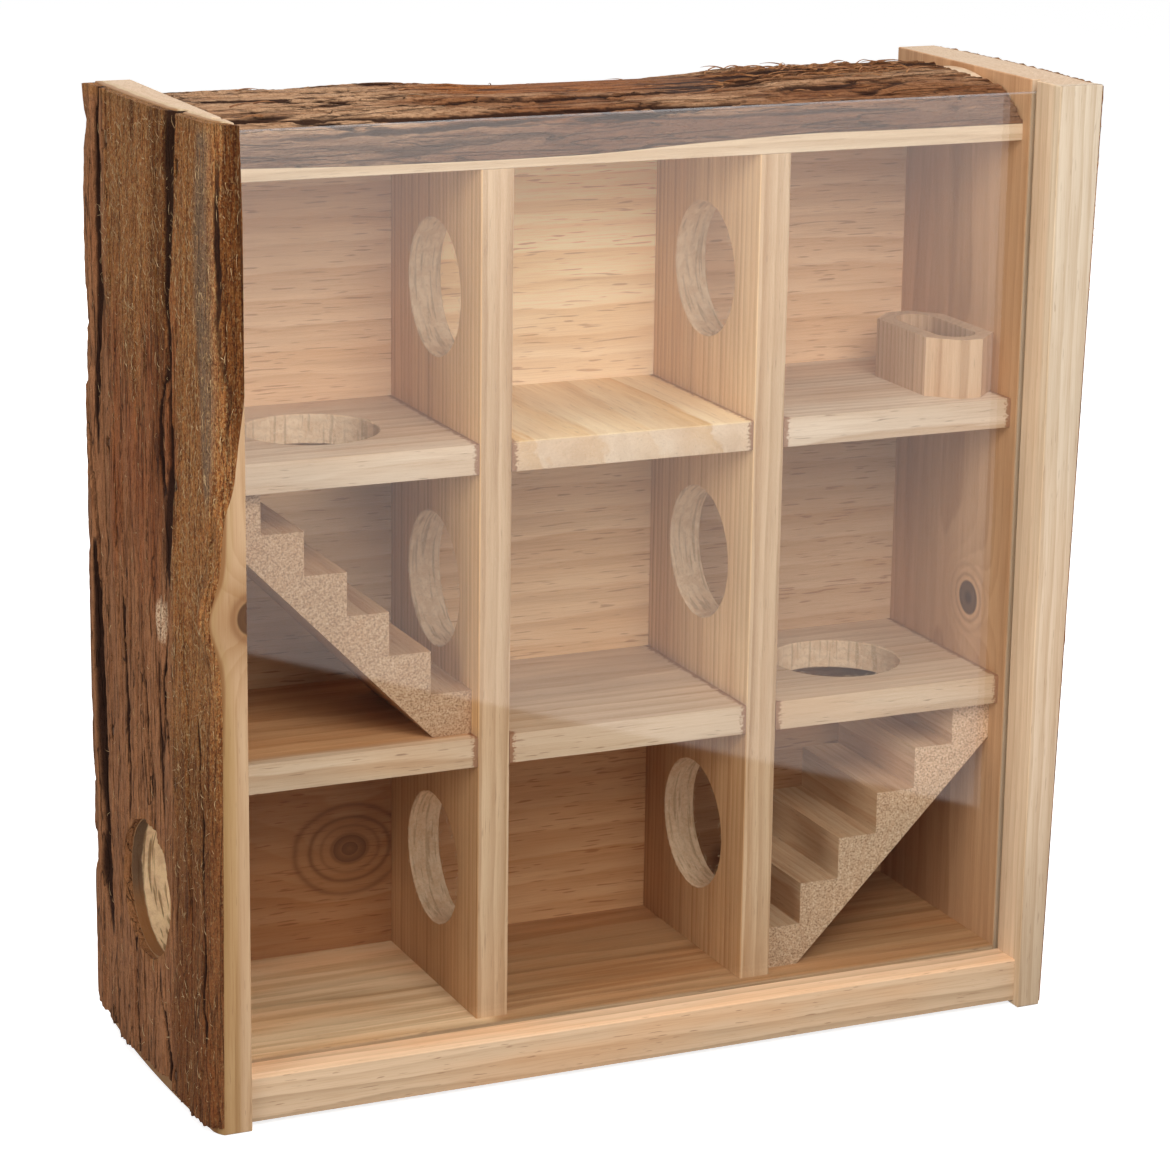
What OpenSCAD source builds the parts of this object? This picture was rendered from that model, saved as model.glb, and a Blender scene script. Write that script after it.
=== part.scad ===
// Wooden hamster maze: three rows of three cells between log slabs, with a lift-out clear front.
// Millimetres, +Z up, front towards -Y, origin on the ground under the middle of the case.

/* [Case] */
// Clear width between the two side slabs
inner_w = 250; // [200:1:320]
// Height of the side slabs
case_h = 286; // [235:1:350]
// Depth of the side slabs, front edge to back edge
slab_d = 98; // [80:1:125]
// How far the side slabs stand above the ceiling
slab_rise = 18.5; // [14:0.5:24]
// Height of the bottom board above the ground
foot_h = 1.5; // [1:0.5:6]

/* [Side slabs] */
// Thickness of the bark
bark_t = 2.6; // [1.5:0.1:4]
// Radius of the log that the left slab is sawn from, without its bark
left_log_r = 600; // [450:10:800]
// Wood thickness of the left slab at the crown of its log, halfway up
left_slab_t = 12; // [11:0.5:18]
// How far the left log's crown lies behind the slab's middle, halfway up
left_crown = 30; // [0:1:40]
// Backward lean of the left log, in degrees
left_lean = 7; // [0:0.2:8]
// Outward lean of the left log, in degrees: the slab is thicker at its foot where this is below 0
left_splay = -0.5; // [-1.2:0.1:1.2]
// Radius of the log that the right slab is sawn from, without its bark
right_log_r = 500; // [300:5:700]
// Wood thickness of the right slab at the crown of its log, halfway up
right_slab_t = 11.5; // [10.5:0.5:16]
// How far the right log's crown lies behind the slab's middle, halfway up
right_crown = 2; // [0:1:28]
// Backward lean of the right log, in degrees
right_lean = 0.6; // [0:0.2:6]
// Outward lean of the right log, in degrees
right_splay = 1.4; // [-1.6:0.1:1.6]
// Height at which the left slab's front edge runs out into bark
wane_z = 202; // [120:1:240]
// Slope of the left slab's waney front edge, in degrees
wane_angle = 40; // [30:1:55]
// Backward lean of the waney edge, in degrees
wane_lean = 4; // [0:0.5:6]

/* [Top slab] */
// Radius of the log that the top slab is sawn from, without its bark
top_log_r = 62; // [52:1:80]
// Height of the sawn strip below the bark at the top slab's front and back
top_edge_t = 4; // [2:0.5:6]

/* [Boards] */
// Thickness of the bottom board
bottom_t = 13.5; // [9:0.5:18]
// Thickness of the back panel
back_t = 6; // [4:0.5:9]
// Thickness of the two dividers
divider_t = 10; // [7:0.5:14]
// Thickness of the shelves
shelf_t = 9; // [6:0.5:12]
// Distance from the side slabs' front edges to the dividers
front_margin = 20; // [18:0.5:26]
// How far the bottom board's front edge lies behind the slabs' front edges
board_setback = 2.5; // [0:0.5:5]
// How far the back panel lies in from the slabs' back edges
back_inset = 2; // [0:0.5:5]

/* [Passages] */
// Diameter of the holes in the dividers and shelves and of the entrance
hole_d = 40; // [30:1:48]
// Height of the entrance's centre above the middle of its cell
entry_up = 4; // [0:0.5:6]
// Distance of the entrance's centre in front of the middle of its cell
entry_forward = 5; // [0:0.5:8]

/* [Stairs] */
// Length of the staircases' flat foot
stairs_foot = 12; // [8:0.5:16]
// Gap from the dividers' front edges to the staircases
stairs_front_gap = 5; // [2:0.5:10]
// Gap from the staircases to the back panel
stairs_back_gap = 15; // [5:0.5:25]

/* [Feed trough] */
// Width of the trough, across the wall that it stands at
trough_w = 23; // [18:0.5:30]
// Length of the trough, along that wall
trough_l = 47; // [36:1:52]
// Height of the trough
trough_h = 18; // [14:0.5:24]
// Chamfer of the trough's upright corners
trough_chamfer = 8; // [4:0.5:10]
// Wall thickness round the trough's slot
trough_wall = 5; // [3:0.5:7]
// Thickness of the trough's floor
trough_floor = 4; // [3:0.5:8]
// Gap from the shelf's front edge to the trough
trough_gap = 4.5; // [2:0.5:8]

/* [Front pane] */
// Thickness of the clear pane
pane_t = 2; // [1.5:0.1:3]
// Play of the pane in its grooves, on each side
pane_play = 0.5; // [0.3:0.1:0.8]
// Depth of the grooves in the side slabs and the bottom board
groove_depth = 3; // [2:0.1:3.6]
// Distance from the slabs' front edges to the grooves
groove_setback = 13.5; // [10:0.5:14.5]
// How far the pane's top edge lies below the slabs' tops
pane_drop = 3.5; // [0:0.5:8]

/* [Nails] */
// Diameter of a nail's shank
nail_d = 1.4; // [1.2:0.1:2.4]
// Diameter of a nail's head
nail_head_d = 2.4; // [2:0.1:5]
// Thickness of a nail's head
nail_head_t = 0.8; // [0.5:0.1:1.2]
// Length of the nails in the side slabs and the bottom board
nail_l = 32; // [28:1:40]
// Length of the nails in the back panel
back_nail_l = 25; // [20:1:30]
// How far the side nails' heads stand off the wood, inside the bark
nail_stand = 0.6; // [0.4:0.1:1]
// Room round a nail's head in the bark
nail_room = 0.2; // [0.2:0.1:0.8]
// How far a nail lies off the middle of a board, so that crossing nails miss each other
nail_stagger = 1.5; // [1.3:0.1:2]

/* [Hidden] */
$fn = 96;

columns = 3;
rows = 3;
steps = 6;
over = 1;
reach = 3 * max(inner_w, case_h);

// Each side's log: radius, wood thickness at the crown, crown's place, lean and splay.
left_log = [left_log_r, left_slab_t, left_crown, left_lean, left_splay];
right_log = [right_log_r, right_slab_t, right_crown, right_lean, right_splay];
steepest_splay = max(abs(left_splay), abs(right_splay));
slab_reach = max(left_slab_t, right_slab_t) + case_h / 2 * tan(steepest_splay) + bark_t + over;

wall_x = inner_w / 2;
front_y = -slab_d / 2;
back_y = slab_d / 2;
back_panel_y = back_y - back_inset - back_t;
cell_y = front_y + front_margin;
cell_d = back_panel_y - cell_y;
cell_mid_y = cell_y + cell_d / 2;
floor_z = foot_h + bottom_t;
ceiling_z = case_h - slab_rise;
inner_h = ceiling_z - floor_z;
cell_w = (inner_w - (columns - 1) * divider_t) / columns;
cell_h = (inner_h - (rows - 1) * shelf_t) / rows;

groove_y = front_y + groove_setback;
groove_w = pane_t + 2 * pane_play;
groove_z = floor_z - groove_depth;

top_y = back_y - back_inset - cell_y;
top_mid_y = cell_y + top_y / 2;
top_rise = top_log_r - sqrt(pow(top_log_r, 2) - pow(top_y / 2, 2));
top_crown_z = ceiling_z + top_edge_t + top_rise;

// Nails go halfway between a passage hole and the edge of its board.
nail_off_y = (hole_d + cell_d) / 4;
nail_off_x = (hole_d + cell_w) / 4;

pine = "burlywood";
pale_pine = "wheat";
bark_brown = "saddlebrown";

// Column 0 is the left one and row 0 the bottom one.
function cell_x(column) = -wall_x + column * (cell_w + divider_t);
function cell_z(row) = floor_z + row * (cell_h + shelf_t);
function cell_mid_x(column) = cell_x(column) + cell_w / 2;
function cell_mid_z(row) = cell_z(row) + cell_h / 2;
function shelf_z(row) = cell_z(row) - shelf_t;
function shelf_mid_z(row) = shelf_z(row) + shelf_t / 2;
function divider_mid_x(column) = cell_x(column) - divider_t / 2;

// Wood thickness of a side slab at a place on its inner face: where a line along X leaves the log.
function slab_wood(log, y, z) =
    let(radius = log[0], thickness = log[1], crown = log[2], lean = log[3], splay = log[4],
        way = [cos(lean) * sin(splay), sin(lean), cos(lean) * cos(splay)],
        off = [0, y - crown, z - case_h / 2],
        along = off * way,
        bend = 1 - pow(way[0], 2),
        spread = off * off - pow(along, 2) - pow(radius, 2))
    thickness - radius + (way[0] * along + sqrt(pow(way[0] * along, 2) - bend * spread)) / bend;

// A nail along -Z, with the top of its head at z = 0.
module nail(length) {
    shank_r = nail_d / 2;
    head_r = nail_head_d / 2;
    rotate_extrude()
        polygon([[0, 0], [head_r, 0], [head_r, -nail_head_t], [shank_r, -nail_head_t],
            [shank_r, nail_d - length], [0, -length]]);
}

// Heights of the side nails: bottom board, both shelves and top slab.
side_nail_z = [floor_z - bottom_t / 2, shelf_mid_z(1) - nail_stagger, shelf_mid_z(2) - nail_stagger,
    ceiling_z + top_edge_t];

// Puts its children at each side nail's head, with Z pointing out of the right side.
module at_side_nails(log) {
    for (z = side_nail_z, side = [-1, 1]) {
        y = cell_mid_y + side * nail_off_y;
        seat = slab_wood(log, y, z) + nail_stand;
        translate([wall_x + seat, y, z])
            rotate([0, 90, 0])
                children();
    }
}

module side_nails(log) {
    at_side_nails(log)
        translate([0, 0, nail_head_t])
            nail(nail_l);
}

// The right side's log, with a layer of the given thickness on it.
module side_log(log, layer) {
    radius = log[0];
    thickness = log[1];
    crown = log[2];
    lean = log[3];
    splay = log[4];
    translate([wall_x + thickness - radius, crown, case_h / 2])
        rotate([-lean, splay, 0])
            cylinder(r = radius + layer, h = 2 * case_h, center = true, $fn = 360);
}

// Everything behind the waney front edge, moved out by the given distance.
module behind_wane(out) {
    translate([wall_x, front_y, wane_z])
        rotate([-wane_lean, 0, 0])
            rotate([0, 0, -wane_angle])
                translate([out - reach, -reach / 2, -reach / 2])
                    cube(reach);
}

// The space on the right that a slab and its bark are sawn to.
module side_blank() {
    translate([wall_x, front_y, 0])
        cube([slab_reach, slab_d, case_h]);
}

module side_wood(log, waney) {
    intersection() {
        side_log(log, 0);
        if (waney) {
            behind_wane(0);
        } else {
            translate([-reach / 2, -reach / 2, -reach / 2])
                cube(reach);
        }
    }
}

module side_groove() {
    translate([wall_x - over, groove_y, groove_z])
        cube([groove_depth + over, groove_w, case_h]);
}

module side_slab(log, waney) {
    difference() {
        intersection() {
            side_blank();
            side_wood(log, waney);
        }
        side_groove();
        side_nails(log);
    }
}

module side_bark(log, waney) {
    difference() {
        intersection() {
            side_blank();
            side_log(log, bark_t);
            if (waney) {
                behind_wane(bark_t);
            } else {
                side_blank();
            }
        }
        side_wood(log, waney);
        side_groove();
        side_nails(log);
        at_side_nails(log)
            cylinder(d = nail_head_d + 2 * nail_room, h = bark_t + 2 * over);
    }
}

// The entrance through the left slab into the bottom cell.
module entrance() {
    translate([-wall_x + over, cell_mid_y - entry_forward, cell_mid_z(0) + entry_up])
        rotate([0, -90, 0])
            cylinder(d = hole_d, h = slab_reach + over);
}

module left_slab() {
    color(pine)
        difference() {
            mirror([1, 0, 0])
                side_slab(left_log, true);
            entrance();
        }
}

module left_bark() {
    color(bark_brown)
        difference() {
            mirror([1, 0, 0])
                side_bark(left_log, true);
            entrance();
        }
}

module right_slab() {
    color(pine)
        side_slab(right_log, false);
}

module right_bark() {
    color(bark_brown)
        side_bark(right_log, false);
}

module left_nails() {
    color("silver")
        mirror([1, 0, 0])
            side_nails(left_log);
}

module right_nails() {
    color("silver")
        side_nails(right_log);
}

module both_side_nails() {
    left_nails();
    right_nails();
}

module top_log(radius) {
    translate([0, top_mid_y, top_crown_z - top_log_r])
        rotate([0, 90, 0])
            cylinder(r = radius, h = inner_w, center = true, $fn = 180);
}

module top_blank() {
    translate([-wall_x, cell_y, ceiling_z])
        cube([inner_w, top_y, top_edge_t + top_rise + bark_t + over]);
}

module top_slab() {
    color(pine)
        difference() {
            intersection() {
                top_blank();
                top_log(top_log_r);
            }
            both_side_nails();
        }
}

module top_bark() {
    color(bark_brown)
        difference() {
            intersection() {
                top_blank();
                top_log(top_log_r + bark_t);
            }
            top_log(top_log_r);
        }
}

module bottom_board() {
    board_y = front_y + board_setback;
    color(pale_pine)
        difference() {
            translate([-wall_x, board_y, foot_h])
                cube([inner_w, back_y - back_inset - board_y, bottom_t]);
            translate([-wall_x - over, groove_y, groove_z])
                cube([inner_w + 2 * over, groove_w, groove_depth + over]);
            both_side_nails();
            bottom_nails();
        }
}

module back_panel() {
    color(pine)
        difference() {
            translate([-wall_x, back_panel_y, floor_z])
                cube([inner_w, back_t, inner_h]);
            back_nails();
        }
}

// Nails through the back panel into the dividers and the shelves.
module back_nails() {
    shelf_nail_z = [for (row = [1 : rows - 1]) shelf_mid_z(row) + nail_stagger];
    divider_nail_z = concat([floor_z + shelf_t], shelf_nail_z, [ceiling_z - shelf_t]);
    color("silver") {
        for (i = [1 : columns - 1], z = divider_nail_z)
            back_nail(divider_mid_x(i) - nail_stagger, z);
        for (i = [0 : columns - 1], side = [-1, 1], z = shelf_nail_z)
            back_nail(cell_mid_x(i) + side * nail_off_x, z);
    }
}

module back_nail(x, z) {
    translate([x, back_y - back_inset, z])
        rotate([-90, 0, 0])
            nail(back_nail_l);
}

// Nails up through the bottom board into the dividers.
module bottom_nails() {
    color("silver")
        for (i = [1 : columns - 1], side = [-1, 1])
            translate([divider_mid_x(i) + nail_stagger, cell_mid_y + side * nail_off_y, foot_h])
                rotate([180, 0, 0])
                    nail(nail_l);
}

module divider(column) {
    color(pale_pine)
        difference() {
            translate([cell_x(column) - divider_t, cell_y, floor_z])
                cube([divider_t, cell_d, inner_h]);
            for (row = [0 : rows - 1])
                translate([cell_x(column) - divider_t - over, cell_mid_y, cell_mid_z(row)])
                    rotate([0, 90, 0])
                        cylinder(d = hole_d, h = divider_t + 2 * over);
            back_nails();
            bottom_nails();
        }
}

module left_divider() {
    divider(1);
}

module right_divider() {
    divider(2);
}

module shelf(column, row, holed) {
    color(pale_pine)
        difference() {
            translate([cell_x(column), cell_y, shelf_z(row)])
                cube([cell_w, cell_d, shelf_t]);
            if (holed)
                translate([cell_mid_x(column), cell_mid_y, shelf_z(row) - over])
                    cylinder(d = hole_d, h = shelf_t + 2 * over);
            back_nails();
            both_side_nails();
        }
}

module upper_left_shelf() {
    shelf(0, 2, true);
}

module upper_middle_shelf() {
    shelf(1, 2, false);
}

module upper_right_shelf() {
    shelf(2, 2, false);
}

module lower_left_shelf() {
    shelf(0, 1, false);
}

module lower_middle_shelf() {
    shelf(1, 1, false);
}

module lower_right_shelf() {
    shelf(2, 1, true);
}

// A staircase sawn from one board, rising to the right from the origin and filling a cell.
module stairs() {
    run = cell_w / steps;
    rise = cell_h / steps;
    treads = [for (i = [0 : steps - 1], corner = [0, 1]) [(i + corner) * run, (i + 1) * rise]];
    underside = (cell_w - stairs_foot) * cell_h / cell_w;
    depth = cell_d - stairs_front_gap - stairs_back_gap;
    color(pine)
        translate([0, stairs_front_gap + depth, 0])
            rotate([90, 0, 0])
                linear_extrude(depth)
                    polygon(concat([[0, 0]], treads, [[cell_w, underside], [stairs_foot, 0]]));
}

module left_stairs() {
    translate([cell_x(0) + cell_w, cell_y, cell_z(1)])
        mirror([1, 0, 0])
            stairs();
}

module right_stairs() {
    translate([cell_x(2), cell_y, cell_z(0)])
        stairs();
}

// A block with chamfered corners and a round-ended slot, against the right wall.
module feed_trough() {
    c = trough_chamfer;
    slot_r = trough_w / 2 - trough_wall;
    slot_ends = [trough_wall + slot_r, trough_l - trough_wall - slot_r];
    color(pine)
        translate([wall_x - trough_w, cell_y + trough_gap, cell_z(2)])
            difference() {
                linear_extrude(trough_h)
                    polygon([[c, 0], [trough_w - c, 0], [trough_w, c], [trough_w, trough_l - c],
                        [trough_w - c, trough_l], [c, trough_l], [0, trough_l - c], [0, c]]);
                translate([0, 0, trough_floor]) {
                    for (y = slot_ends)
                        translate([trough_w / 2, y, 0])
                            cylinder(r = slot_r, h = trough_h);
                    translate([trough_wall, slot_ends[0], 0])
                        cube([2 * slot_r, slot_ends[1] - slot_ends[0], trough_h]);
                }
            }
}

module front_pane() {
    pane_w = inner_w + 2 * (groove_depth - pane_play);
    pane_z = groove_z + pane_play;
    color("aliceblue", 0.35)
        translate([-pane_w / 2, groove_y + pane_play, pane_z])
            cube([pane_w, pane_t, case_h - pane_drop - pane_z]);
}

left_slab();
left_bark();
right_slab();
right_bark();
top_slab();
top_bark();
bottom_board();
back_panel();
left_divider();
right_divider();
upper_left_shelf();
upper_middle_shelf();
upper_right_shelf();
lower_left_shelf();
lower_middle_shelf();
lower_right_shelf();
left_stairs();
right_stairs();
feed_trough();
front_pane();
left_nails();
right_nails();
back_nails();
bottom_nails();
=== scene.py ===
import math

import bpy
import numpy as np
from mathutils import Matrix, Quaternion, Vector


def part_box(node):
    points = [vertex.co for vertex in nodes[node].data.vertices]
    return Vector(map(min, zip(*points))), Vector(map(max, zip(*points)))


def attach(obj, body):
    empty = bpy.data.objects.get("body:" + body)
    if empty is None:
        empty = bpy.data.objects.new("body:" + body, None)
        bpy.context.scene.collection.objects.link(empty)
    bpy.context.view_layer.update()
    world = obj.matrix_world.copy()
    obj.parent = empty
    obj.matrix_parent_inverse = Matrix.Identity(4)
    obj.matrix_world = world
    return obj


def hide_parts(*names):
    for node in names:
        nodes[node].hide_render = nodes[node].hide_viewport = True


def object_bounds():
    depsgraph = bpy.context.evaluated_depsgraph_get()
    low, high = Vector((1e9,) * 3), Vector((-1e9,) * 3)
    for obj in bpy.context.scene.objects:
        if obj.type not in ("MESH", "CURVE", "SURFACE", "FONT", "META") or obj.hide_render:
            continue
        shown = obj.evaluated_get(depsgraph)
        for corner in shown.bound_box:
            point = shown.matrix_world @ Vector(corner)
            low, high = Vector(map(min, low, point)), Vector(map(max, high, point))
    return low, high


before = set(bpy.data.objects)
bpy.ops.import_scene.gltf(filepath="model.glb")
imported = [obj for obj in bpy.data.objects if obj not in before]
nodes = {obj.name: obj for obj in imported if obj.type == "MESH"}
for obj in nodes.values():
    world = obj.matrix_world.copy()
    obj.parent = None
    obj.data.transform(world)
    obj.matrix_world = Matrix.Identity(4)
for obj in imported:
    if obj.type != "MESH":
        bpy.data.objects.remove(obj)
cadLow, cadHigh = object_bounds()
mm = 0.001  # the meshes are worked out in millimetres
print("frame loaded:", len(nodes), "pieces")


def boxMm(node):
    low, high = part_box(node)
    return np.array(low) / mm, np.array(high) / mm


slabLow, slabHigh = boxMm("left_slab")
wallX = -slabHigh[0]  # inner faces of the side slabs
frontY = slabLow[1]
backY = slabHigh[1]
caseH = slabHigh[2]
paneLow, paneHigh = boxMm("front_pane")


# Camera, floor and light

cameraSet = {
    "eye": (-437.0, -969.2, 425.9),  # mm
    "nearest": 0.05,  # m, closer than this nothing shows
    "heading": 24.17,  # degrees from +Y towards +X
    "dip": 15.26,
    "roll": 0.8,
    "lens": 113.36,
    "sensor": 36.0,
}


def placeCamera(look):
    data = bpy.data.cameras.new("frontLeftView")
    data.lens = look["lens"]
    data.sensor_width = look["sensor"]
    data.clip_start = look["nearest"]
    camera = bpy.data.objects.new("frontLeftView", data)
    heading = math.radians(look["heading"])
    dip = math.radians(look["dip"])
    level = math.cos(dip)
    forward = Vector((math.sin(heading) * level, math.cos(heading) * level, -math.sin(dip)))
    camera.location = Vector(look["eye"]) * mm
    camera.rotation_mode = "QUATERNION"
    turn = Quaternion((0, 0, 1), math.radians(look["roll"]))
    camera.rotation_quaternion = forward.to_track_quat("-Z", "Y") @ turn
    bpy.context.scene.collection.objects.link(camera)
    bpy.context.scene.camera = camera


# Shader sums: a wire is a socket that Python's operators work on

class Wire:
    def __init__(self, finish, socket):
        self.finish = finish
        self.socket = socket

    def __add__(self, other):
        return self.finish.math("ADD", self, other)

    def __radd__(self, other):
        return self.finish.math("ADD", other, self)

    def __sub__(self, other):
        return self.finish.math("SUBTRACT", self, other)

    def __rsub__(self, other):
        return self.finish.math("SUBTRACT", other, self)

    def __mul__(self, other):
        return self.finish.math("MULTIPLY", self, other)

    def __rmul__(self, other):
        return self.finish.math("MULTIPLY", other, self)

    def __truediv__(self, other):
        return self.finish.math("DIVIDE", self, other)

    def __pow__(self, other):
        return self.finish.math("POWER", self, other)

    def output(self, name):
        return Wire(self.finish, self.socket.node.outputs[name])


class Finish:
    def __init__(self, tree):
        self.tree = tree
        self.tree.nodes.clear()

    def node(self, kind, settings=None, sockets=None, out=0):
        made = self.tree.nodes.new(kind)
        for key, value in (settings or {}).items():
            setattr(made, key, value)
        for key, value in (sockets or {}).items():
            if isinstance(value, Wire):
                self.tree.links.new(value.socket, made.inputs[key])
            else:
                made.inputs[key].default_value = value
        return Wire(self, made.outputs[out]) if len(made.outputs) else None

    def math(self, operation, *values):
        return self.node("ShaderNodeMath", {"operation": operation}, dict(enumerate(values)))

    def place(self):  # the point's own place in mm
        spot = self.node("ShaderNodeTexCoord").output("Object")
        inMm = self.node("ShaderNodeVectorMath", {"operation": "SCALE"}, {0: spot, "Scale": 1 / mm})
        return self.parts(inMm)

    def parts(self, vector):
        split = self.node("ShaderNodeSeparateXYZ", None, {0: vector})
        return split, split.output("Y"), split.output("Z")

    def vector(self, x, y, z):
        return self.node("ShaderNodeCombineXYZ", None, {0: x, 1: y, 2: z})

    def noise(self, x, y, z, detail=2.0, rough=0.5, twist=0.0):
        sockets = {"Vector": self.vector(x, y, z), "Scale": 1.0, "Detail": detail}
        return self.node("ShaderNodeTexNoise", None, {**sockets, "Roughness": rough, "Distortion": twist})

    def bell(self, value):  # 1 at 0, and down to nothing on both sides of it
        return self.math("EXPONENT", value * value * -1)

    def fade(self, value, start, stop, low=0.0, high=1.0):
        sockets = {"Value": value, "From Min": start, "From Max": stop, "To Min": low, "To Max": high}
        return self.node("ShaderNodeMapRange", {"interpolation_type": "SMOOTHSTEP"}, sockets)

    def mix(self, factor, first, second, blend="MIX"):
        settings = {"data_type": "RGBA", "blend_type": blend, "clamp_factor": True}
        return self.node("ShaderNodeMix", settings, {0: factor, 6: first, 7: second}, out=2)

    def attribute(self, name):
        return self.node("ShaderNodeAttribute", {"attribute_name": name}).output("Fac")

    def bump(self, height, depth, strength=1.0):
        return self.node("ShaderNodeBump", None, {"Height": height, "Distance": depth, "Strength": strength})

    def surface(self, shader):
        self.node("ShaderNodeOutputMaterial", None, {"Surface": shader})

    def solid(self, colour, rough, normal, settings=None):
        sockets = {"Base Color": colour, "Roughness": rough, "Normal": normal, **(settings or {})}
        self.surface(self.node("ShaderNodeBsdfPrincipled", None, sockets))


def newFinish(name):
    material = bpy.data.materials.new(name)
    material.use_nodes = True
    return material, Finish(material.node_tree)


def rgb(red, green, blue):
    return (red, green, blue, 1.0)


stageSet = {
    "floorSize": 8.0,  # m
    "floorDrop": 0.0003,  # m under the slabs' feet
    "floorColour": rgb(0.62, 0.62, 0.62),
    "glow": 0.80,  # what makes the floor white to the camera
    "ambient": 0.30,
    "cardGlow": (1.45, 2.35),  # bright part of the floor as the pane mirrors it, near and far
    "cardReach": (-480.0, -1900.0),  # y between which it brightens, mm
    "cardShade": 0.04,
    "cardTint": rgb(1.0, 0.975, 0.955),
    "cardEdge": (128.4, -324.7),  # a point on the bright part's border, mm
    "cardTurn": (0.842, -0.5395),  # from the border into the bright part
    "cardSoft": 4.0,  # mm
}


def seenRays(finish):  # whether a ray comes from the camera, off a mirror or through glass
    rays = finish.node("ShaderNodeLightPath")
    return rays.output("Is Camera Ray"), rays.output("Is Glossy Ray"), rays.output("Is Transmission Ray")


def makeStage(look):
    half = look["floorSize"] / 2
    z = -look["floorDrop"]
    mesh = bpy.data.meshes.new("studioFloor")
    corners = [(-half, -half, z), (half, -half, z), (half, half, z), (-half, half, z)]
    mesh.from_pydata(corners, [], [(0, 1, 2, 3)])
    floor = bpy.data.objects.new("studioFloor", mesh)
    bpy.context.scene.collection.objects.link(floor)
    material, finish = newFinish("paleFloor")
    camera, glossy, through = seenRays(finish)
    x, y, _ = finish.place()
    edgeX, edgeY = look["cardEdge"]
    turnX, turnY = look["cardTurn"]
    beyond = (x - edgeX) * turnX + (y - edgeY) * turnY
    card = finish.fade(beyond, -look["cardSoft"], look["cardSoft"], look["cardShade"], 1.0)
    card = card * finish.fade(y, *look["cardReach"], *look["cardGlow"])
    strength = camera * look["glow"] + through * look["glow"] + glossy * card
    tint = finish.mix(glossy, rgb(1, 1, 1), look["cardTint"])
    glow = finish.node("ShaderNodeEmission", None, {"Color": tint, "Strength": strength})
    paint = finish.node("ShaderNodeBsdfDiffuse", None, {"Color": look["floorColour"]})
    both = finish.node("ShaderNodeAddShader", None, {0: glow, 1: paint})
    finish.surface(finish.node("ShaderNodeMixShader", None, {0: glossy, 1: both, 2: glow}))
    mesh.materials.append(material)

    world = bpy.data.worlds.new("softRoom")
    world.use_nodes = True
    bpy.context.scene.world = world
    sky = Finish(world.node_tree)
    camera, glossy, through = seenRays(sky)
    seen = sky.math("MINIMUM", camera + glossy + through, 1.0)
    level = seen + (1 - seen) * look["ambient"]
    air = sky.node("ShaderNodeBackground", None, {"Color": rgb(1, 1, 1), "Strength": level})
    sky.node("ShaderNodeOutputWorld", None, {"Surface": air})


softBoxes = {
    "keyBox": {"at": (-80, -660, 650), "size": 460, "power": 5.0},
    "leftBox": {"at": (-1300, -600, 500), "size": 600, "power": 7.5},
    "rightBox": {"at": (1300, -250, 600), "size": 600, "power": 6.0},
    "backBox": {"at": (250, 1300, 650), "size": 800, "power": 9.0},
    "topBox": {"at": (0, -60, 1300), "size": 700, "power": 4.0},
}


def makeLights(boxes):
    target = Vector((0, 0, caseH / 2)) * mm
    for name, look in boxes.items():
        data = bpy.data.lights.new(name, "AREA")
        data.energy = look["power"]
        data.size = look["size"] * mm
        lamp = bpy.data.objects.new(name, data)
        lamp.location = Vector(look["at"]) * mm
        lamp.rotation_mode = "QUATERNION"
        lamp.rotation_quaternion = (target - lamp.location).to_track_quat("-Z", "Y")
        lamp.visible_camera = False
        lamp.visible_glossy = False
        bpy.context.scene.collection.objects.link(lamp)


bpy.context.scene.view_settings.view_transform = "Standard"
placeCamera(cameraSet)
makeStage(stageSet)
makeLights(softBoxes)
print("camera, floor and lights placed")


# Wood finish: growth rings round a pith, with knots, fibres and resin flecks

pine = {
    "early": rgb(0.66, 0.455, 0.29),
    "late": rgb(0.42, 0.215, 0.10),
    "blush": rgb(0.62, 0.36, 0.19),
    "resin": rgb(0.19, 0.08, 0.035),
    "knotWood": rgb(0.27, 0.14, 0.075),
    "knotRing": rgb(0.24, 0.11, 0.05),
    "knotHeart": rgb(0.075, 0.033, 0.015),
    "fibreTone": rgb(0.72, 0.61, 0.50),  # what fine fibres and broad streaks darken the wood by
    "streakTone": rgb(0.62, 0.48, 0.34),
    "endTone": rgb(0.60, 0.42, 0.28),  # end grain, its pores and the fibres that stand out of it
    "poreTone": rgb(0.25, 0.14, 0.075),
    "tuftTone": rgb(0.80, 0.66, 0.50),
    "tornTone": rgb(0.27, 0.11, 0.05),  # torn ends of a shelf
    "ring": 3.2,  # mm from ring to ring
    "sway": 9.0,  # how far the rings wander, mm
    "swayLong": 150.0,  # over what length, mm
    "lateShare": 0.85,
    "blushShare": 0.35,
    "fibreShare": 0.35,
    "dashes": 0.75,  # short resin lines; fewer of them with a higher level
    "dashShare": 0.5,
    "dashFine": (2.4, 0.2),  # how fine they are across and along the grain, per mm
    "speckle": 0.0,  # dark pores on the end grain
    "strip": 0.0,  # width of the glued strips of a panel, mm
    "ragged": None,  # x of the two torn ends of a shelf, mm
    "rind": None,  # the log whose bast shows on the wood's outer 2 mm
    "rindDeep": 2.2,
    "rindColour": rgb(0.27, 0.125, 0.045),
    "bastColour": rgb(0.40, 0.29, 0.12),
    "rough": 0.6,
    "grip": 0.00008,  # depth of the surface's fibres, m
    "streaks": 0.2,  # broad darker streaks along the grain
    "streakFrom": None,  # an axis and the two values between which they set in
    "heart": 0.5,  # how dark a knot's heart is
    "tints": [],  # a colour change, and from where to where it fades in along each axis; many of them are painted light and shade
    "knots": [],
}


knotGone = 9.0  # a knot this many times its own size away no longer shows


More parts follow.
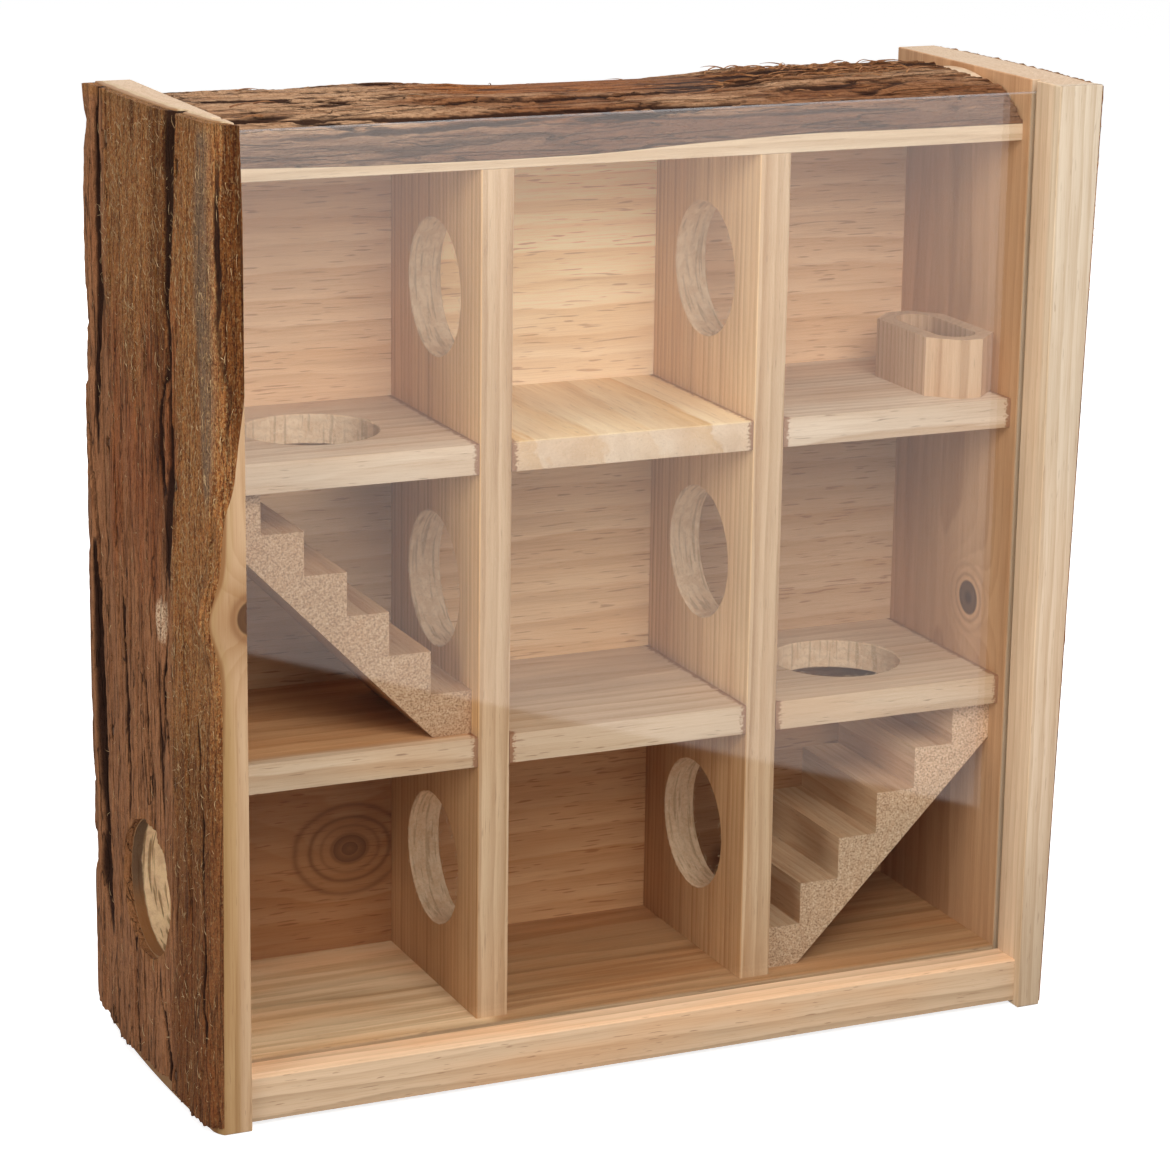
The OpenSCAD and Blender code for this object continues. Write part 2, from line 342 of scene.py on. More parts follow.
def barkGap(finish, x, y, z, log):  # mm from a point of the wood out to the bark
    lean = math.radians(log["lean"])
    up = z - caseH / 2
    off = (y - log["crown"]) * math.cos(lean) - up * math.sin(lean)
    face = (log["logR"] ** 2 - off * off) ** 0.5 + (log["thick"] - log["logR"])
    face = face + finish.fade(y, frontY + fillReach, frontY) * log["fill"]
    if log["burl"]:
        burl = log["burl"]
        high = (z - burl["z"]) / burl["wide"]
        swell = finish.bell(high) * burl["high"]
        face = face + swell * finish.fade(y, frontY + burl["reach"], frontY)
    return face + up * math.tan(math.radians(log["splay"])) + wallX - x * log["sign"]


def woodFinish(name, look):
    look = {**pine, **look}
    material, finish = newFinish(name)
    x, y, z = finish.place()
    spot = {"x": x, "y": y, "z": z}
    along, a, b = {"x": (x, y, z), "y": (y, x, z), "z": (z, x, y)}[look["grain"]]
    seed = look["seed"] * 7.3
    if look["strip"]:
        strip = finish.math("FLOOR", b / look["strip"])
        along = along + strip * 61.0
        b = b - strip * look["strip"] + finish.math("SINE", strip * 2.3 + look["seed"]) * 34.0
    swayWire = finish.noise(a / 42, b / 42, along / look["swayLong"] + seed, detail=2)
    swayA, swayB, swayC = finish.parts(swayWire.output("Color"))
    pithA, pithB = look["pith"]
    da = a - pithA + (swayA - 0.5) * look["sway"]
    db = b - pithB + (swayB - 0.5) * look["sway"]
    radius = (da * da + db * db) ** 0.5
    knots = []
    for knot in look["knots"]:
        u, v = {"x": (y, z), "y": (x, z), "z": (x, y)}[knot["axis"]]
        du = (u - knot["at"][0]) / knot["size"][0] + (swayC - 0.5) * 0.5
        dv = (v - knot["at"][1]) / knot["size"][1] + (swayB - 0.5) * 0.4
        far = (du * du + dv * dv) ** 0.5
        if "until" in knot:
            far = far + finish.fade(spot[knot["axis"]], *knot["until"]) * knotGone
        halo = finish.bell(far / knot["reach"])
        radius = radius + halo * knot["swell"]
        knots.append((knot, far, halo))
    waver = finish.noise(a / 5, b / 5, along / 45 + seed, detail=3)
    turns = radius / look["ring"] + (waver - 0.5) * 0.7
    ring = finish.math("FRACT", turns)
    count = finish.math("FLOOR", turns)
    year = finish.node("ShaderNodeTexWhiteNoise", {"noise_dimensions": "1D"}, {"W": count})
    late = (ring ** 1.4) * finish.fade(ring, 1.0, 0.88) * (0.35 + 0.65 * year)
    fibre = finish.noise(a * 2.0, b * 2.0, along * 0.05 + seed, detail=3, rough=0.6)
    dashThin, dashLong = look["dashFine"]
    dash = finish.noise(a * dashThin, b * dashThin, along * dashLong - seed, detail=0)
    dash = finish.fade(dash, look["dashes"], look["dashes"] + 0.08)
    cloud = finish.noise(a / 14, b / 14, along / 75 + seed, detail=2)
    broad = finish.noise(a / 5.5, b / 5.5, along / 110 - seed, detail=2)
    broad = finish.fade(broad, 0.48, 0.60) * look["streaks"]
    if look["streakFrom"]:
        axis, start, stop = look["streakFrom"]
        broad = broad * finish.fade(spot[axis], start, stop)
    fine = finish.fade(fibre, 0.44, 0.70) * look["fibreShare"]

    colour = finish.mix(late * look["lateShare"], look["early"], look["late"])
    colour = finish.mix(finish.fade(cloud, 0.42, 0.68) * look["blushShare"], colour, look["blush"])
    colour = finish.mix(fine, colour, look["fibreTone"], "MULTIPLY")
    colour = finish.mix(broad, colour, look["streakTone"], "MULTIPLY")
    colour = finish.mix(dash * look["dashShare"], colour, look["resin"])
    height = fibre * 0.7 + late * 0.3 - dash * 0.6
    if look["speckle"]:
        normals = finish.parts(finish.node("ShaderNodeNewGeometry").output("Normal"))
        facing = normals["xyz".index(look["grain"])]
        ends = finish.fade(facing * facing, 0.6, 0.9)
        pores = finish.noise(a * 1.6, b * 1.6, along * 0.8, detail=3, rough=0.75)
        dark = finish.fade(pores, 0.50, 0.62) * ends
        light = finish.fade(pores, 0.46, 0.36) * ends
        colour = finish.mix(ends * 0.4, colour, look["endTone"])
        colour = finish.mix(dark * look["speckle"], colour, look["poreTone"])
        colour = finish.mix(light * look["speckle"] * 0.6, colour, look["tuftTone"])
        height = height + pores * ends * -2.0
    if look["ragged"]:
        left, right = look["ragged"]
        gap = finish.math("MINIMUM", x - left, right - x)
        torn = finish.noise(x * 0.9, y * 0.9, z * 1.6, detail=2)
        colour = finish.mix(finish.fade(gap + torn * 4.5, 4.2, 3.2) * 0.85, colour, look["tornTone"])
    if look["rind"]:
        under = barkGap(finish, x, y, z, look["rind"]) + (waver - 0.5) * 1.6
        deep = look["rindDeep"]
        colour = finish.mix(finish.fade(under, deep * 2, deep) * 0.35, colour, look["bastColour"])
        colour = finish.mix(finish.fade(under, deep, deep * 0.5) * 0.85, colour, look["rindColour"])
    for knot, far, halo in knots:
        colour = finish.mix(halo * knot["halo"], colour, knot["haloColour"])
        for at, wide, share in knot["rings"]:
            off = (far - at + (waver - 0.5) * 0.25) / wide
            colour = finish.mix(finish.bell(off) * share, colour, look["knotRing"])
        core = finish.fade(far, 1.08, 0.88)
        colour = finish.mix(core * 0.9, colour, look["knotWood"])
        lines = finish.math("FRACT", far * knot["lines"] + (waver - 0.5) * 0.5)
        heart = finish.fade(far, 0.42, 0.18)
        colour = finish.mix(core * lines * 0.5 + heart * look["heart"], colour, look["knotHeart"])
    # each tint multiplies the colour where it fades in; many of them paint light and shade onto the wood
    for tint, *places in look["tints"]:
        share = 1.0
        for axis, start, stop in places:
            share = finish.fade(spot[axis], start, stop) * share
        colour = finish.mix(share, colour, tint, "MULTIPLY")
    saw = finish.noise(a * 2.2, b * 2.2, along * 0.7, detail=2)
    normal = finish.bump(height + saw * 0.2, look["grip"], 0.8)
    finish.solid(colour, look["rough"] + (fibre - 0.5) * 0.3, normal, {"Specular IOR Level": 0.35})
    return material


boreTone = {
    "pale": rgb(0.82, 0.60, 0.40),
    "warm": rgb(0.66, 0.42, 0.24),
    "shade": rgb(0.40, 0.24, 0.125),
    "fuzz": rgb(0.84, 0.70, 0.53),
    "poreShare": 0.3,
    "streakShare": 0.5,
    "sweepShare": 0.2,
    "rind": None,  # the log whose bark shows at the bore's mouth
    # mouth: the bore's wall near the bark darkened, partly the rind's colour and partly painted shade
    "mouth": rgb(0.085, 0.035, 0.014),
    # mouthLow: the lower part of that wall, lighter and more orange, as painted light
    "mouthLow": rgb(0.30, 0.12, 0.036),
    "mouthLowFrom": (56.0, 44.0),  # heights between which the mouth turns to its lower tone, mm
}


def boreFinish(name, axis, look):  # torn fibres and sweeps that the drill left
    look = {**boreTone, **look}
    material, finish = newFinish(name)
    x, y, z = finish.place()
    along, a, b = {"x": (x, y, z), "z": (z, x, y)}[axis]
    pores = finish.noise(x * 1.3, y * 1.3, z * 1.3, detail=3, rough=0.75)
    torn = finish.noise(x * 0.3, y * 0.3, z * 0.3, detail=2)
    streak = finish.noise(x * 0.9, y * 0.12, z * 0.05, detail=2)
    sweep = finish.math("SINE", along * 2.2 + (a + b) * 0.25 + torn * 10.0) * 0.5 + 0.5
    colour = finish.mix(finish.fade(torn, 0.40, 0.66) * 0.6, look["pale"], look["warm"])
    colour = finish.mix(finish.fade(streak, 0.53, 0.64) * look["streakShare"], colour, look["shade"])
    colour = finish.mix(finish.fade(pores, 0.54, 0.66) * look["poreShare"], colour, look["shade"])
    colour = finish.mix(finish.fade(pores, 0.45, 0.36) * look["poreShare"], colour, look["fuzz"])
    sweeps = (sweep ** 3) * finish.fade(torn, 0.62, 0.45)
    colour = finish.mix(sweeps * look["sweepShare"], colour, look["shade"])
    if look["rind"]:
        under = barkGap(finish, x, y, z, look["rind"]) + (torn - 0.5) * 1.2
        # painted shade near the bark's edge, made lighter at the bottom of the bore
        mouth = finish.fade(under, 3.6, 2.8)
        lower = mouth * finish.fade(z, *look["mouthLowFrom"])
        colour = finish.mix(mouth * 0.92, colour, look["mouth"])
        colour = finish.mix(lower * 0.7, colour, look["mouthLow"])
    height = pores * -1.0 + sweep * 0.12 + streak * -0.5
    finish.solid(colour, 0.75 + (pores - 0.5) * 0.2, finish.bump(height, 0.0002, 0.9))
    return material


# Mesh helpers: numpy points in mm, lofts and two-sided shells

def rollNoise(u, v, seed):  # smooth noise from -1 to 1 on a seeded lattice
    size = 128
    angle = np.random.default_rng(seed).random((size, size)) * 2 * np.pi
    u, v = np.broadcast_arrays(u, v)
    iu = np.floor(u).astype(int)
    iv = np.floor(v).astype(int)
    fu = u - iu
    fv = v - iv

    def pull(du, dv):
        turn = angle[(iu + du) % size, (iv + dv) % size]
        return np.cos(turn) * (fu - du) + np.sin(turn) * (fv - dv)

    wu = fu ** 3 * (fu * (fu * 6 - 15) + 10)
    wv = fv ** 3 * (fv * (fv * 6 - 15) + 10)
    low = pull(0, 0) * (1 - wu) + pull(1, 0) * wu
    high = pull(0, 1) * (1 - wu) + pull(1, 1) * wu
    return 1.5 * (low * (1 - wv) + high * wv)


def rise(value, start, stop):  # 0 before start, 1 after stop, smooth between
    t = np.clip((value - start) / (stop - start), 0, 1)
    return t * t * (3 - 2 * t)


def softCurve(points, t, spread=5.0):  # listed points, joined and rounded off
    keys = sorted(points)
    at = [p[0] for p in keys]
    offsets = np.linspace(-spread, spread, 7)
    return [np.mean([np.interp(t + o, at, [p[k] for p in keys]) for o in offsets], axis=0)
            for k in range(1, len(keys[0]))]


woodCrease = 35  # degrees; edges sharper than this stay crisp


def smooth(mesh, crease):
    mesh.polygons.foreach_set("use_smooth", np.ones(len(mesh.polygons), bool))
    mesh.set_sharp_from_angle(angle=math.radians(crease))


def addPiece(name, points, faces, material, crease=woodCrease):
    mesh = bpy.data.meshes.new(name)
    mesh.from_pydata(np.asarray(points) * mm, [], faces)
    mesh.validate()
    smooth(mesh, crease)
    mesh.materials.append(material)
    piece = bpy.data.objects.new(name, mesh)
    bpy.context.scene.collection.objects.link(piece)
    return piece


def fit(piece, body, slot, *stoodFor):
    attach(piece, body)
    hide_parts(*stoodFor)
    return piece


def roundOutline(corners):  # corners of (x, y, easing); an eased corner becomes a small arc
    made = []
    for i, (x, y, ease) in enumerate(corners):
        here = np.array([x, y])
        if not ease:
            made.append(here)
            continue
        before = np.array(corners[i - 1][:2]) - here
        after = np.array(corners[(i + 1) % len(corners)][:2]) - here
        first = here + before / np.linalg.norm(before) * ease
        last = here + after / np.linalg.norm(after) * ease
        for t in (0, 0.5, 1):
            made.append(first * (1 - t) ** 2 + here * 2 * t * (1 - t) + last * t * t)
    return np.array(made)


def shrink(outline, by):  # moves a counter-clockwise outline inwards
    step = np.roll(outline, -1, 0) - outline
    side = np.stack([-step[:, 1], step[:, 0]], 1)
    side /= np.maximum(np.linalg.norm(side, axis=1), 1e-6)[:, None]
    inward = side + np.roll(side, 1, 0)
    inward /= np.maximum((inward ** 2).sum(1) / 2, 0.35)[:, None]
    return outline + inward * by


def loft(outlines, stations, axis, ease):  # stacks outlines along an axis, with eased ends
    rings = [shrink(outlines[0], ease), *outlines, shrink(outlines[-1], ease)]
    at = [stations[0], *stations, stations[-1]]
    at[1] += ease
    at[-2] -= ease
    order = {"x": (2, 0, 1), "y": (1, 2, 0), "z": (0, 1, 2)}[axis]
    points = []
    for ring, where in zip(rings, at):
        flat = np.column_stack([ring, np.full(len(ring), where)])
        points.append(flat[:, order])
    count = len(rings[0])
    faces = [list(range(count))[::-1]]
    for i in range(len(rings) - 1):
        for j in range(count):
            k = (j + 1) % count
            faces.append((i * count + j, i * count + k, (i + 1) * count + k, (i + 1) * count + j))
    faces.append(list(range((len(rings) - 1) * count, len(rings) * count)))
    return np.concatenate(points), faces


def cutWith(piece, cutters):  # bores holes and clears the cutters away
    for cutter in cutters:
        bore = piece.modifiers.new("bore", "BOOLEAN")
        bore.operation = "DIFFERENCE"
        bore.solver = "EXACT"
        bore.material_mode = "TRANSFER"
        bore.object = cutter
    bpy.context.view_layer.update()
    graph = bpy.context.evaluated_depsgraph_get()
    bored = bpy.data.meshes.new_from_object(piece.evaluated_get(graph))
    piece.modifiers.clear()
    piece.data = bored
    smooth(bored, woodCrease)
    for cutter in cutters:
        bpy.data.objects.remove(cutter)


boreSet = {"radius": 20.0, "rim": 0.35, "flare": 0.2, "torn": 0.16, "past": 2.0, "sides": 96}  # mm


def boreCutter(axis, centre, low, high, seed, material, look=boreSet):
    turn = np.linspace(0, 2 * np.pi, look["sides"], endpoint=False)
    rim = look["rim"]
    past = look["past"]
    mouth = rim + look["flare"]
    stations = [low - past, low, low + rim, (low + high) / 2, high - rim, high, high + past]
    extra = [mouth, rim, 0, 0, 0, rim, mouth]
    outlines = []
    for k, more in enumerate(extra):
        torn = rollNoise(turn * 9, np.full_like(turn, k * 0.6), seed) * look["torn"]
        r = look["radius"] + more + torn
        outlines.append(np.column_stack([np.cos(turn), np.sin(turn)]) * r[:, None] + centre)
    points, faces = loft(outlines, stations, axis, 0.01)
    return addPiece("cutter", points, faces, material)


def shell(outer, inner, kept):  # closes two grids of points into one skin; kept says which cells are there
    rows, columns = outer.shape[:2]
    index = np.arange(rows * columns).reshape(rows, columns)
    a, b = index[:-1, :-1], index[:-1, 1:]
    c, d = index[1:, 1:], index[1:, :-1]
    quads = np.stack([a, b, c, d], -1)[kept]
    under = quads[:, ::-1] + rows * columns
    sides = np.concatenate([quads[:, [i, (i + 1) % 4]] for i in range(4)])
    codes = sides[:, 0] * rows * columns + sides[:, 1]
    backs = sides[:, 1] * rows * columns + sides[:, 0]
    rim = sides[~np.isin(codes, backs)]
    walls = np.stack([rim[:, 1], rim[:, 0], rim[:, 0] + rows * columns, rim[:, 1] + rows * columns], 1)
    faces = np.concatenate([quads, under, walls])
    used, packed = np.unique(faces, return_inverse=True)
    points = np.concatenate([outer.reshape(-1, 3), inner.reshape(-1, 3)])
    return points[used], packed.reshape(faces.shape), used % (rows * columns)


barkMasks = ["crack", "plate", "fuzz", "grey", "bast", "pale", "ruddy"]


def paint(piece, used, *masks):  # masks worked out on the bark's grid go to its finish as attributes
    for name, mask in zip(barkMasks, masks):
        layer = piece.data.attributes.new(name, "FLOAT", "POINT")
        layer.data.foreach_set("value", mask.reshape(-1)[used].astype(np.float32))


# Side slabs: sawn from a leaning log, with a waney front edge on the left one

sideLogs = {
    "left": {
        "sign": -1,
        "logR": 600.0,
        "thick": 12.0,
        "crown": 30.0,
        "lean": 7.0,  # degrees, towards the back
        "splay": -0.5,  # degrees, outwards at the top
        "fill": 1.2,  # how much of the bark's place the wood takes at the front edge, mm
        "waneSlope": math.tan(math.radians(40)),
        "waneSoft": 2.5,
        # height, and how wide the pale sawn edge is there; below 0 the bark wraps round it
        "waneEdge": [(0, 8.4), (36, 8.0), (84, 7.6), (125, 7.6), (135, 8.2), (147, 10.9), (151, 11.8),
                     (156, 10.0), (168, 8.2), (178, 6.9), (187, 3.4), (201, 1.7), (210, 0.3), (240, -2.2),
                     (286, -4.9)],
        "burl": {"z": 151.0, "high": 4.0, "wide": 9.0, "reach": 12.0},  # swelling round the edge's knot
        "notch": {"y": -16.0, "wide": 2.4, "deep": 4.0, "from": 266.0},  # where the crack meets the top
    },
    "right": {
        "sign": 1,
        "logR": 500.0,
        "thick": 11.5,
        "crown": 2.0,
        "lean": 0.6,
        "splay": 1.4,
        "fill": 2.1,
        "waneEdge": None,
        "burl": None,
        "notch": None,
    },
}
fillReach = 6.0  # mm behind the front edge

grooveSet = {"play": 0.5, "depth": 3.0, "from": 12.0, "ease": 0.25}  # mm
grooveFront = paneLow[1] - grooveSet["play"]
grooveBack = paneHigh[1] + grooveSet["play"]
slabSet = {
    "levels": 84,
    "columns": 52,
    "from": 18.0,  # mm, the first level above the groove's end
    "ease": 0.3,
    "frontEase": 0.12,
    "endEase": 0.25,
    "thinnest": 0.3,
}


def woodDepth(log, y, z):  # how far the wood reaches out from the inner face
    lean = math.radians(log["lean"])
    up = z - caseH / 2
    off = (y - log["crown"]) * math.cos(lean) - up * math.sin(lean)
    face = log["thick"] - log["logR"] + np.sqrt(log["logR"] ** 2 - off ** 2)
    face = face + up * math.tan(math.radians(log["splay"]))
    face = face + log["fill"] * (1 - rise(y, frontY, frontY + fillReach))
    burl = log["burl"]
    if burl:
        swell = burl["high"] * np.exp(-((z - burl["z"]) / burl["wide"]) ** 2)
        face = face + swell * (1 - rise(y, frontY, frontY + burl["reach"]))
    if log["waneEdge"]:
        soft = log["waneSoft"]
        edge = softCurve(log["waneEdge"], z, 3.0)[0] + log["waneSlope"] * (y - frontY)
        near = np.maximum(soft - np.abs(face - edge), 0) / soft
        face = np.minimum(face, edge) - near ** 2 * soft / 4
    notch = log["notch"]
    if notch:
        bite = np.exp(-((y - notch["y"]) / notch["wide"]) ** 2) * rise(z, notch["from"], caseH)
        face = face - bite * notch["deep"]
    return face


def frontOfWood(log, z, past=-0.3):  # y where the wood starts at a height, or the bark that goes past it
    if not log["waneEdge"]:
        return frontY + 0 * z
    edge = softCurve(log["waneEdge"], z, 3.0)[0]
    return frontY + np.maximum(0, -edge - past) / log["waneSlope"]


def makeSlab(side, material):
    log = sideLogs[side]
    sign = log["sign"]
    groove = grooveSet
    ease = slabSet["ease"]
    frontEase = slabSet["frontEase"]
    upper = np.linspace(slabSet["from"], caseH, slabSet["levels"])
    levels = [0, groove["from"] - 0.1, groove["from"], *upper]
    outlines = []
    for z in levels:
        grooved = z >= groove["from"]
        depth = groove["depth"] if grooved else 0.02
        lip = groove["ease"] if grooved else 0.005
        start = float(frontOfWood(log, z))
        ys = start + (backY - start) * np.linspace(0, 1, slabSet["columns"])
        out = np.maximum(woodDepth(log, ys, z), slabSet["thinnest"])
        outer = [(o, y, 0) for o, y in zip(out[1:-1], ys[1:-1])]
        inner = [(0, backY, ease), (0, grooveBack, lip), (depth, grooveBack, 0), (depth, grooveFront, 0),
                 (0, grooveFront, lip), (0, start, frontEase)]
        corners = inner + [(out[0], start, frontEase)] + outer + [(out[-1], backY, ease)]
        ring = roundOutline(corners)
        ring[:, 0] = sign * (wallX + ring[:, 0])
        outlines.append(ring if sign > 0 else ring[::-1])
    points, faces = loft(outlines, levels, "z", slabSet["endEase"])
    return addPiece(side + "Slab", points, faces, material)


slabLook = {
    "grain": "z", "ring": 2.6, "sway": 7.0, "swayLong": 240.0, "dashShare": 0.25, "speckle": 0.3,
    "early": rgb(0.65, 0.495, 0.35), "late": rgb(0.45, 0.29, 0.165), "blush": rgb(0.60, 0.41, 0.26),
}
# knots run along an axis, and may end between two values of it; a ring is its distance, width and share
edgeKnot = {"axis": "y", "at": (-123.8, 151.2), "size": (4.2, 4.9), "swell": 9.0, "reach": 2.6, "lines": 2.0,
            "halo": 0.75, "haloColour": rgb(0.30, 0.155, 0.05), "rings": [(1.3, 0.25, 0.6)],
            "until": (-47.0, -40.0)}
wallKnot = {"axis": "x", "at": (-8.0, 121.6), "size": (5.4, 5.4), "swell": 12.0, "reach": 2.4, "lines": 2.0,
            "halo": 0.6, "haloColour": rgb(0.80, 0.62, 0.44),
            "rings": [(1.35, 0.12, 0.38), (1.95, 0.16, 0.18)]}
sawnEdge = ("y", -44.0, -47.0)  # only on the front edge
innerWall = ("x", 125.7, 125.1)  # only on the right slab's inner face
leftWood = woodFinish("leftSlabWood", {
    **slabLook, "seed": 3, "pith": (-62.0, 16.0), "knots": [edgeKnot], "rind": sideLogs["left"],
    "heart": 0.9, "knotWood": rgb(0.10, 0.045, 0.02),
    "tints": [
        (rgb(0.80, 0.70, 0.58), sawnEdge),
        (rgb(0.80, 0.74, 0.58), ("x", -127.4, -129.4), ("z", 150.0, 110.0), ("y", -45.0, -47.0)),
        # painted light: the slab's top end a little lighter, as light falls on it from above
        (rgb(1.02, 1.01, 1.0), ("z", 284.5, 285.5)),
    ],
})
rightWood = woodFinish("rightSlabWood", {
    **slabLook, "seed": 8, "pith": (74.0, 8.0), "knots": [wallKnot],
    "heart": 0.9, "knotWood": rgb(0.12, 0.06, 0.035),
    "tints": [
        # painted shade: the inner wall behind the pane darker and more orange
        (rgb(0.92, 0.70, 0.53), innerWall, ("y", -34.0, -32.0)),
        # painted shade: the front edge darker towards the bottom
        (rgb(0.78, 0.76, 0.72), ("z", 90.0, 0.0), sawnEdge),
        # painted light: the front edge lighter and cooler towards the top
        (rgb(0.97, 1.05, 1.12), ("z", 120.0, 200.0), sawnEdge),
        # painted light: the strip of inner wall in front of the pane lighter
        (rgb(1.17, 1.14, 1.08), innerWall, ("y", -35.0, -36.0)),
    ],
})
leftSlab = makeSlab("left", leftWood)
rightSlab = makeSlab("right", rightWood)
entrySet = {"y": 1.0, "z": 58.08, "reach": 16.0}  # mm, the entrance's centre and the wood it goes through
entryAt = (entrySet["y"], entrySet["z"])
entryFinish = boreFinish("entryBore", "x", {
    "rind": sideLogs["left"], "streakShare": 0.9, "poreShare": 0.12, "sweepShare": 0.0,
    "pale": rgb(0.90, 0.65, 0.37), "shade": rgb(0.30, 0.17, 0.07),
})
cutWith(leftSlab, [boreCutter("x", entryAt, -wallX - entrySet["reach"], -wallX, 21, entryFinish)])
fit(leftSlab, "case", "slab_wood", "left_slab")
fit(rightSlab, "case", "slab_wood", "right_slab")
print("side slabs sawn")


# Bark: relief and colour masks on a grid, in mm

barkLook = {
    "plate": 8.0,  # width of the plates between furrows
    "plateLong": 110.0,
    "line": 0.075,  # how wide a furrow is, as a share of a plate
    "furrow": 1.3,  # depth of the long furrows
    "split": 0.7,  # depth of the short splits
    "flake": 0.7,  # height of a flaked layer
    "grit": 0.15,
    # long thin cracks: how many, and from what to what their length, half width and depth go
    "fine": {"count": 30, "long": (40.0, 160.0), "wide": (0.3, 0.8), "deep": (0.8, 2.1), "lean": 0.07},
    "step": 0.3,  # how much one side of a crack stands above the other
}


def furrows(value, wide):
    return np.exp(-(value / wide) ** 2)


def barkRelief(across, along, look, fuzz):  # depth below the bark's face, and masks for the colours
    look = {**barkLook, **look}
    seed = look["seed"]
    sway = 2.4 * rollNoise(across / 26, along / 80, seed)
    sway = sway + 0.9 * rollNoise(across / 6, along / 19, seed + 1)
    s = across + sway + 0.35 * rollNoise(across / 2, along / 4, seed + 9)
    gate = rise(rollNoise(s / 12, along / 55, seed + 2), -0.5, 0.0)
    longOnes = furrows(rollNoise(s / look["plate"], along / look["plateLong"], seed + 3), look["line"]) * gate
    shortOnes = furrows(rollNoise(s / 3.2, along / 30, seed + 4), 0.11)
    shortOnes = shortOnes * rise(rollNoise(s / 8, along / 26, seed + 5), -0.15, 0.3)
    layer = rollNoise(s / 7, along / 46, seed + 6) + 0.12 * rollNoise(s / 1.5, along / 6, seed + 10)
    flakes = 0.5 * rise(layer, -0.10, -0.05) + 0.5 * rise(layer, 0.24, 0.29)
    lips = furrows(layer + 0.12, 0.035) + furrows(layer - 0.22, 0.035)  # shade under a flake's edge
    grit = rollNoise(across / 0.9, along / 3.6, seed + 7)
    grit = grit + 0.8 * rollNoise(across / 0.8, along / 1.7, seed + 8)
    plain = 1 - 0.8 * fuzz
    depth = (look["furrow"] * longOnes + look["split"] * shortOnes) * plain
    depth = depth + look["flake"] * (1 - flakes) * (1 - 0.6 * fuzz) + look["grit"] * (grit + 1)
    # crack: where the bark is painted near-black, in furrows, splits and under flake edges; partly the bark's
    # dark inner colour, partly painted shade in the recesses
    crack = 0.75 * look["furrow"] * longOnes + look["split"] * shortOnes + 0.6 * look["flake"] * lips
    return depth, np.clip(crack, 0, 1) * plain, flakes


def fineCracks(look, acrossSpan, alongSpan):  # seeded paths in the form that the listed cracks have
    fine = {**barkLook, **look}["fine"]
    rng = np.random.default_rng(look["seed"] + 60)
    paths = []
    for k in range(fine["count"]):
        share = (k + rng.random()) / fine["count"]
        across = acrossSpan[0] + share * (acrossSpan[1] - acrossSpan[0])
        middle = rng.uniform(*alongSpan)
        half = rng.uniform(*fine["long"]) / 2
        wide = rng.uniform(*fine["wide"])
        deep = rng.uniform(*fine["deep"])
        slant = fine["lean"] + rng.normal(0, 0.02)
        path = []
        for t, swell in ((-1, 0.5), (-0.4, 1.0), (0.3, 1.0), (1, 0.5)):
            aside = across + slant * half * t + rng.normal(0, 0.5)
            path.append((middle + half * t, aside, wide * swell, deep * swell))
        paths.append(path)
    return paths


def cutCracks(across, along, cracks, seed, step=0.0):  # cracks by along, across, half width and depth
    depth = np.zeros_like(across)
    dark = np.zeros_like(across)
    lift = np.zeros_like(across)
    for k, path in enumerate(cracks):
        at, wide, deep = softCurve(path, along, 4.0)
        start = min(p[0] for p in path)
        stop = max(p[0] for p in path)
        ends = rise(along, start - 6, start + 6) * (1 - rise(along, stop - 2, stop + 6))
        wander = 0.6 * rollNoise(along / 14, np.full_like(along, 3.3 * k), seed)
        wander = wander + 0.3 * rollNoise(along / 3.5, np.full_like(along, 5.1 * k), seed + 1)
        far = across - at - wander
        groove = np.exp(-(np.abs(far) / wide) ** 4) * ends
        depth = np.maximum(depth, groove * deep)
        # painted shade: the deeper a crack, the darker it is painted
        dark = np.maximum(dark, groove * np.minimum(1, deep / 1.2))
        side = step if k % 2 else -step
        lift = lift + side * np.tanh(far / 0.5) * np.exp(-np.abs(far) / 3.5) * ends
    return depth, dark, lift


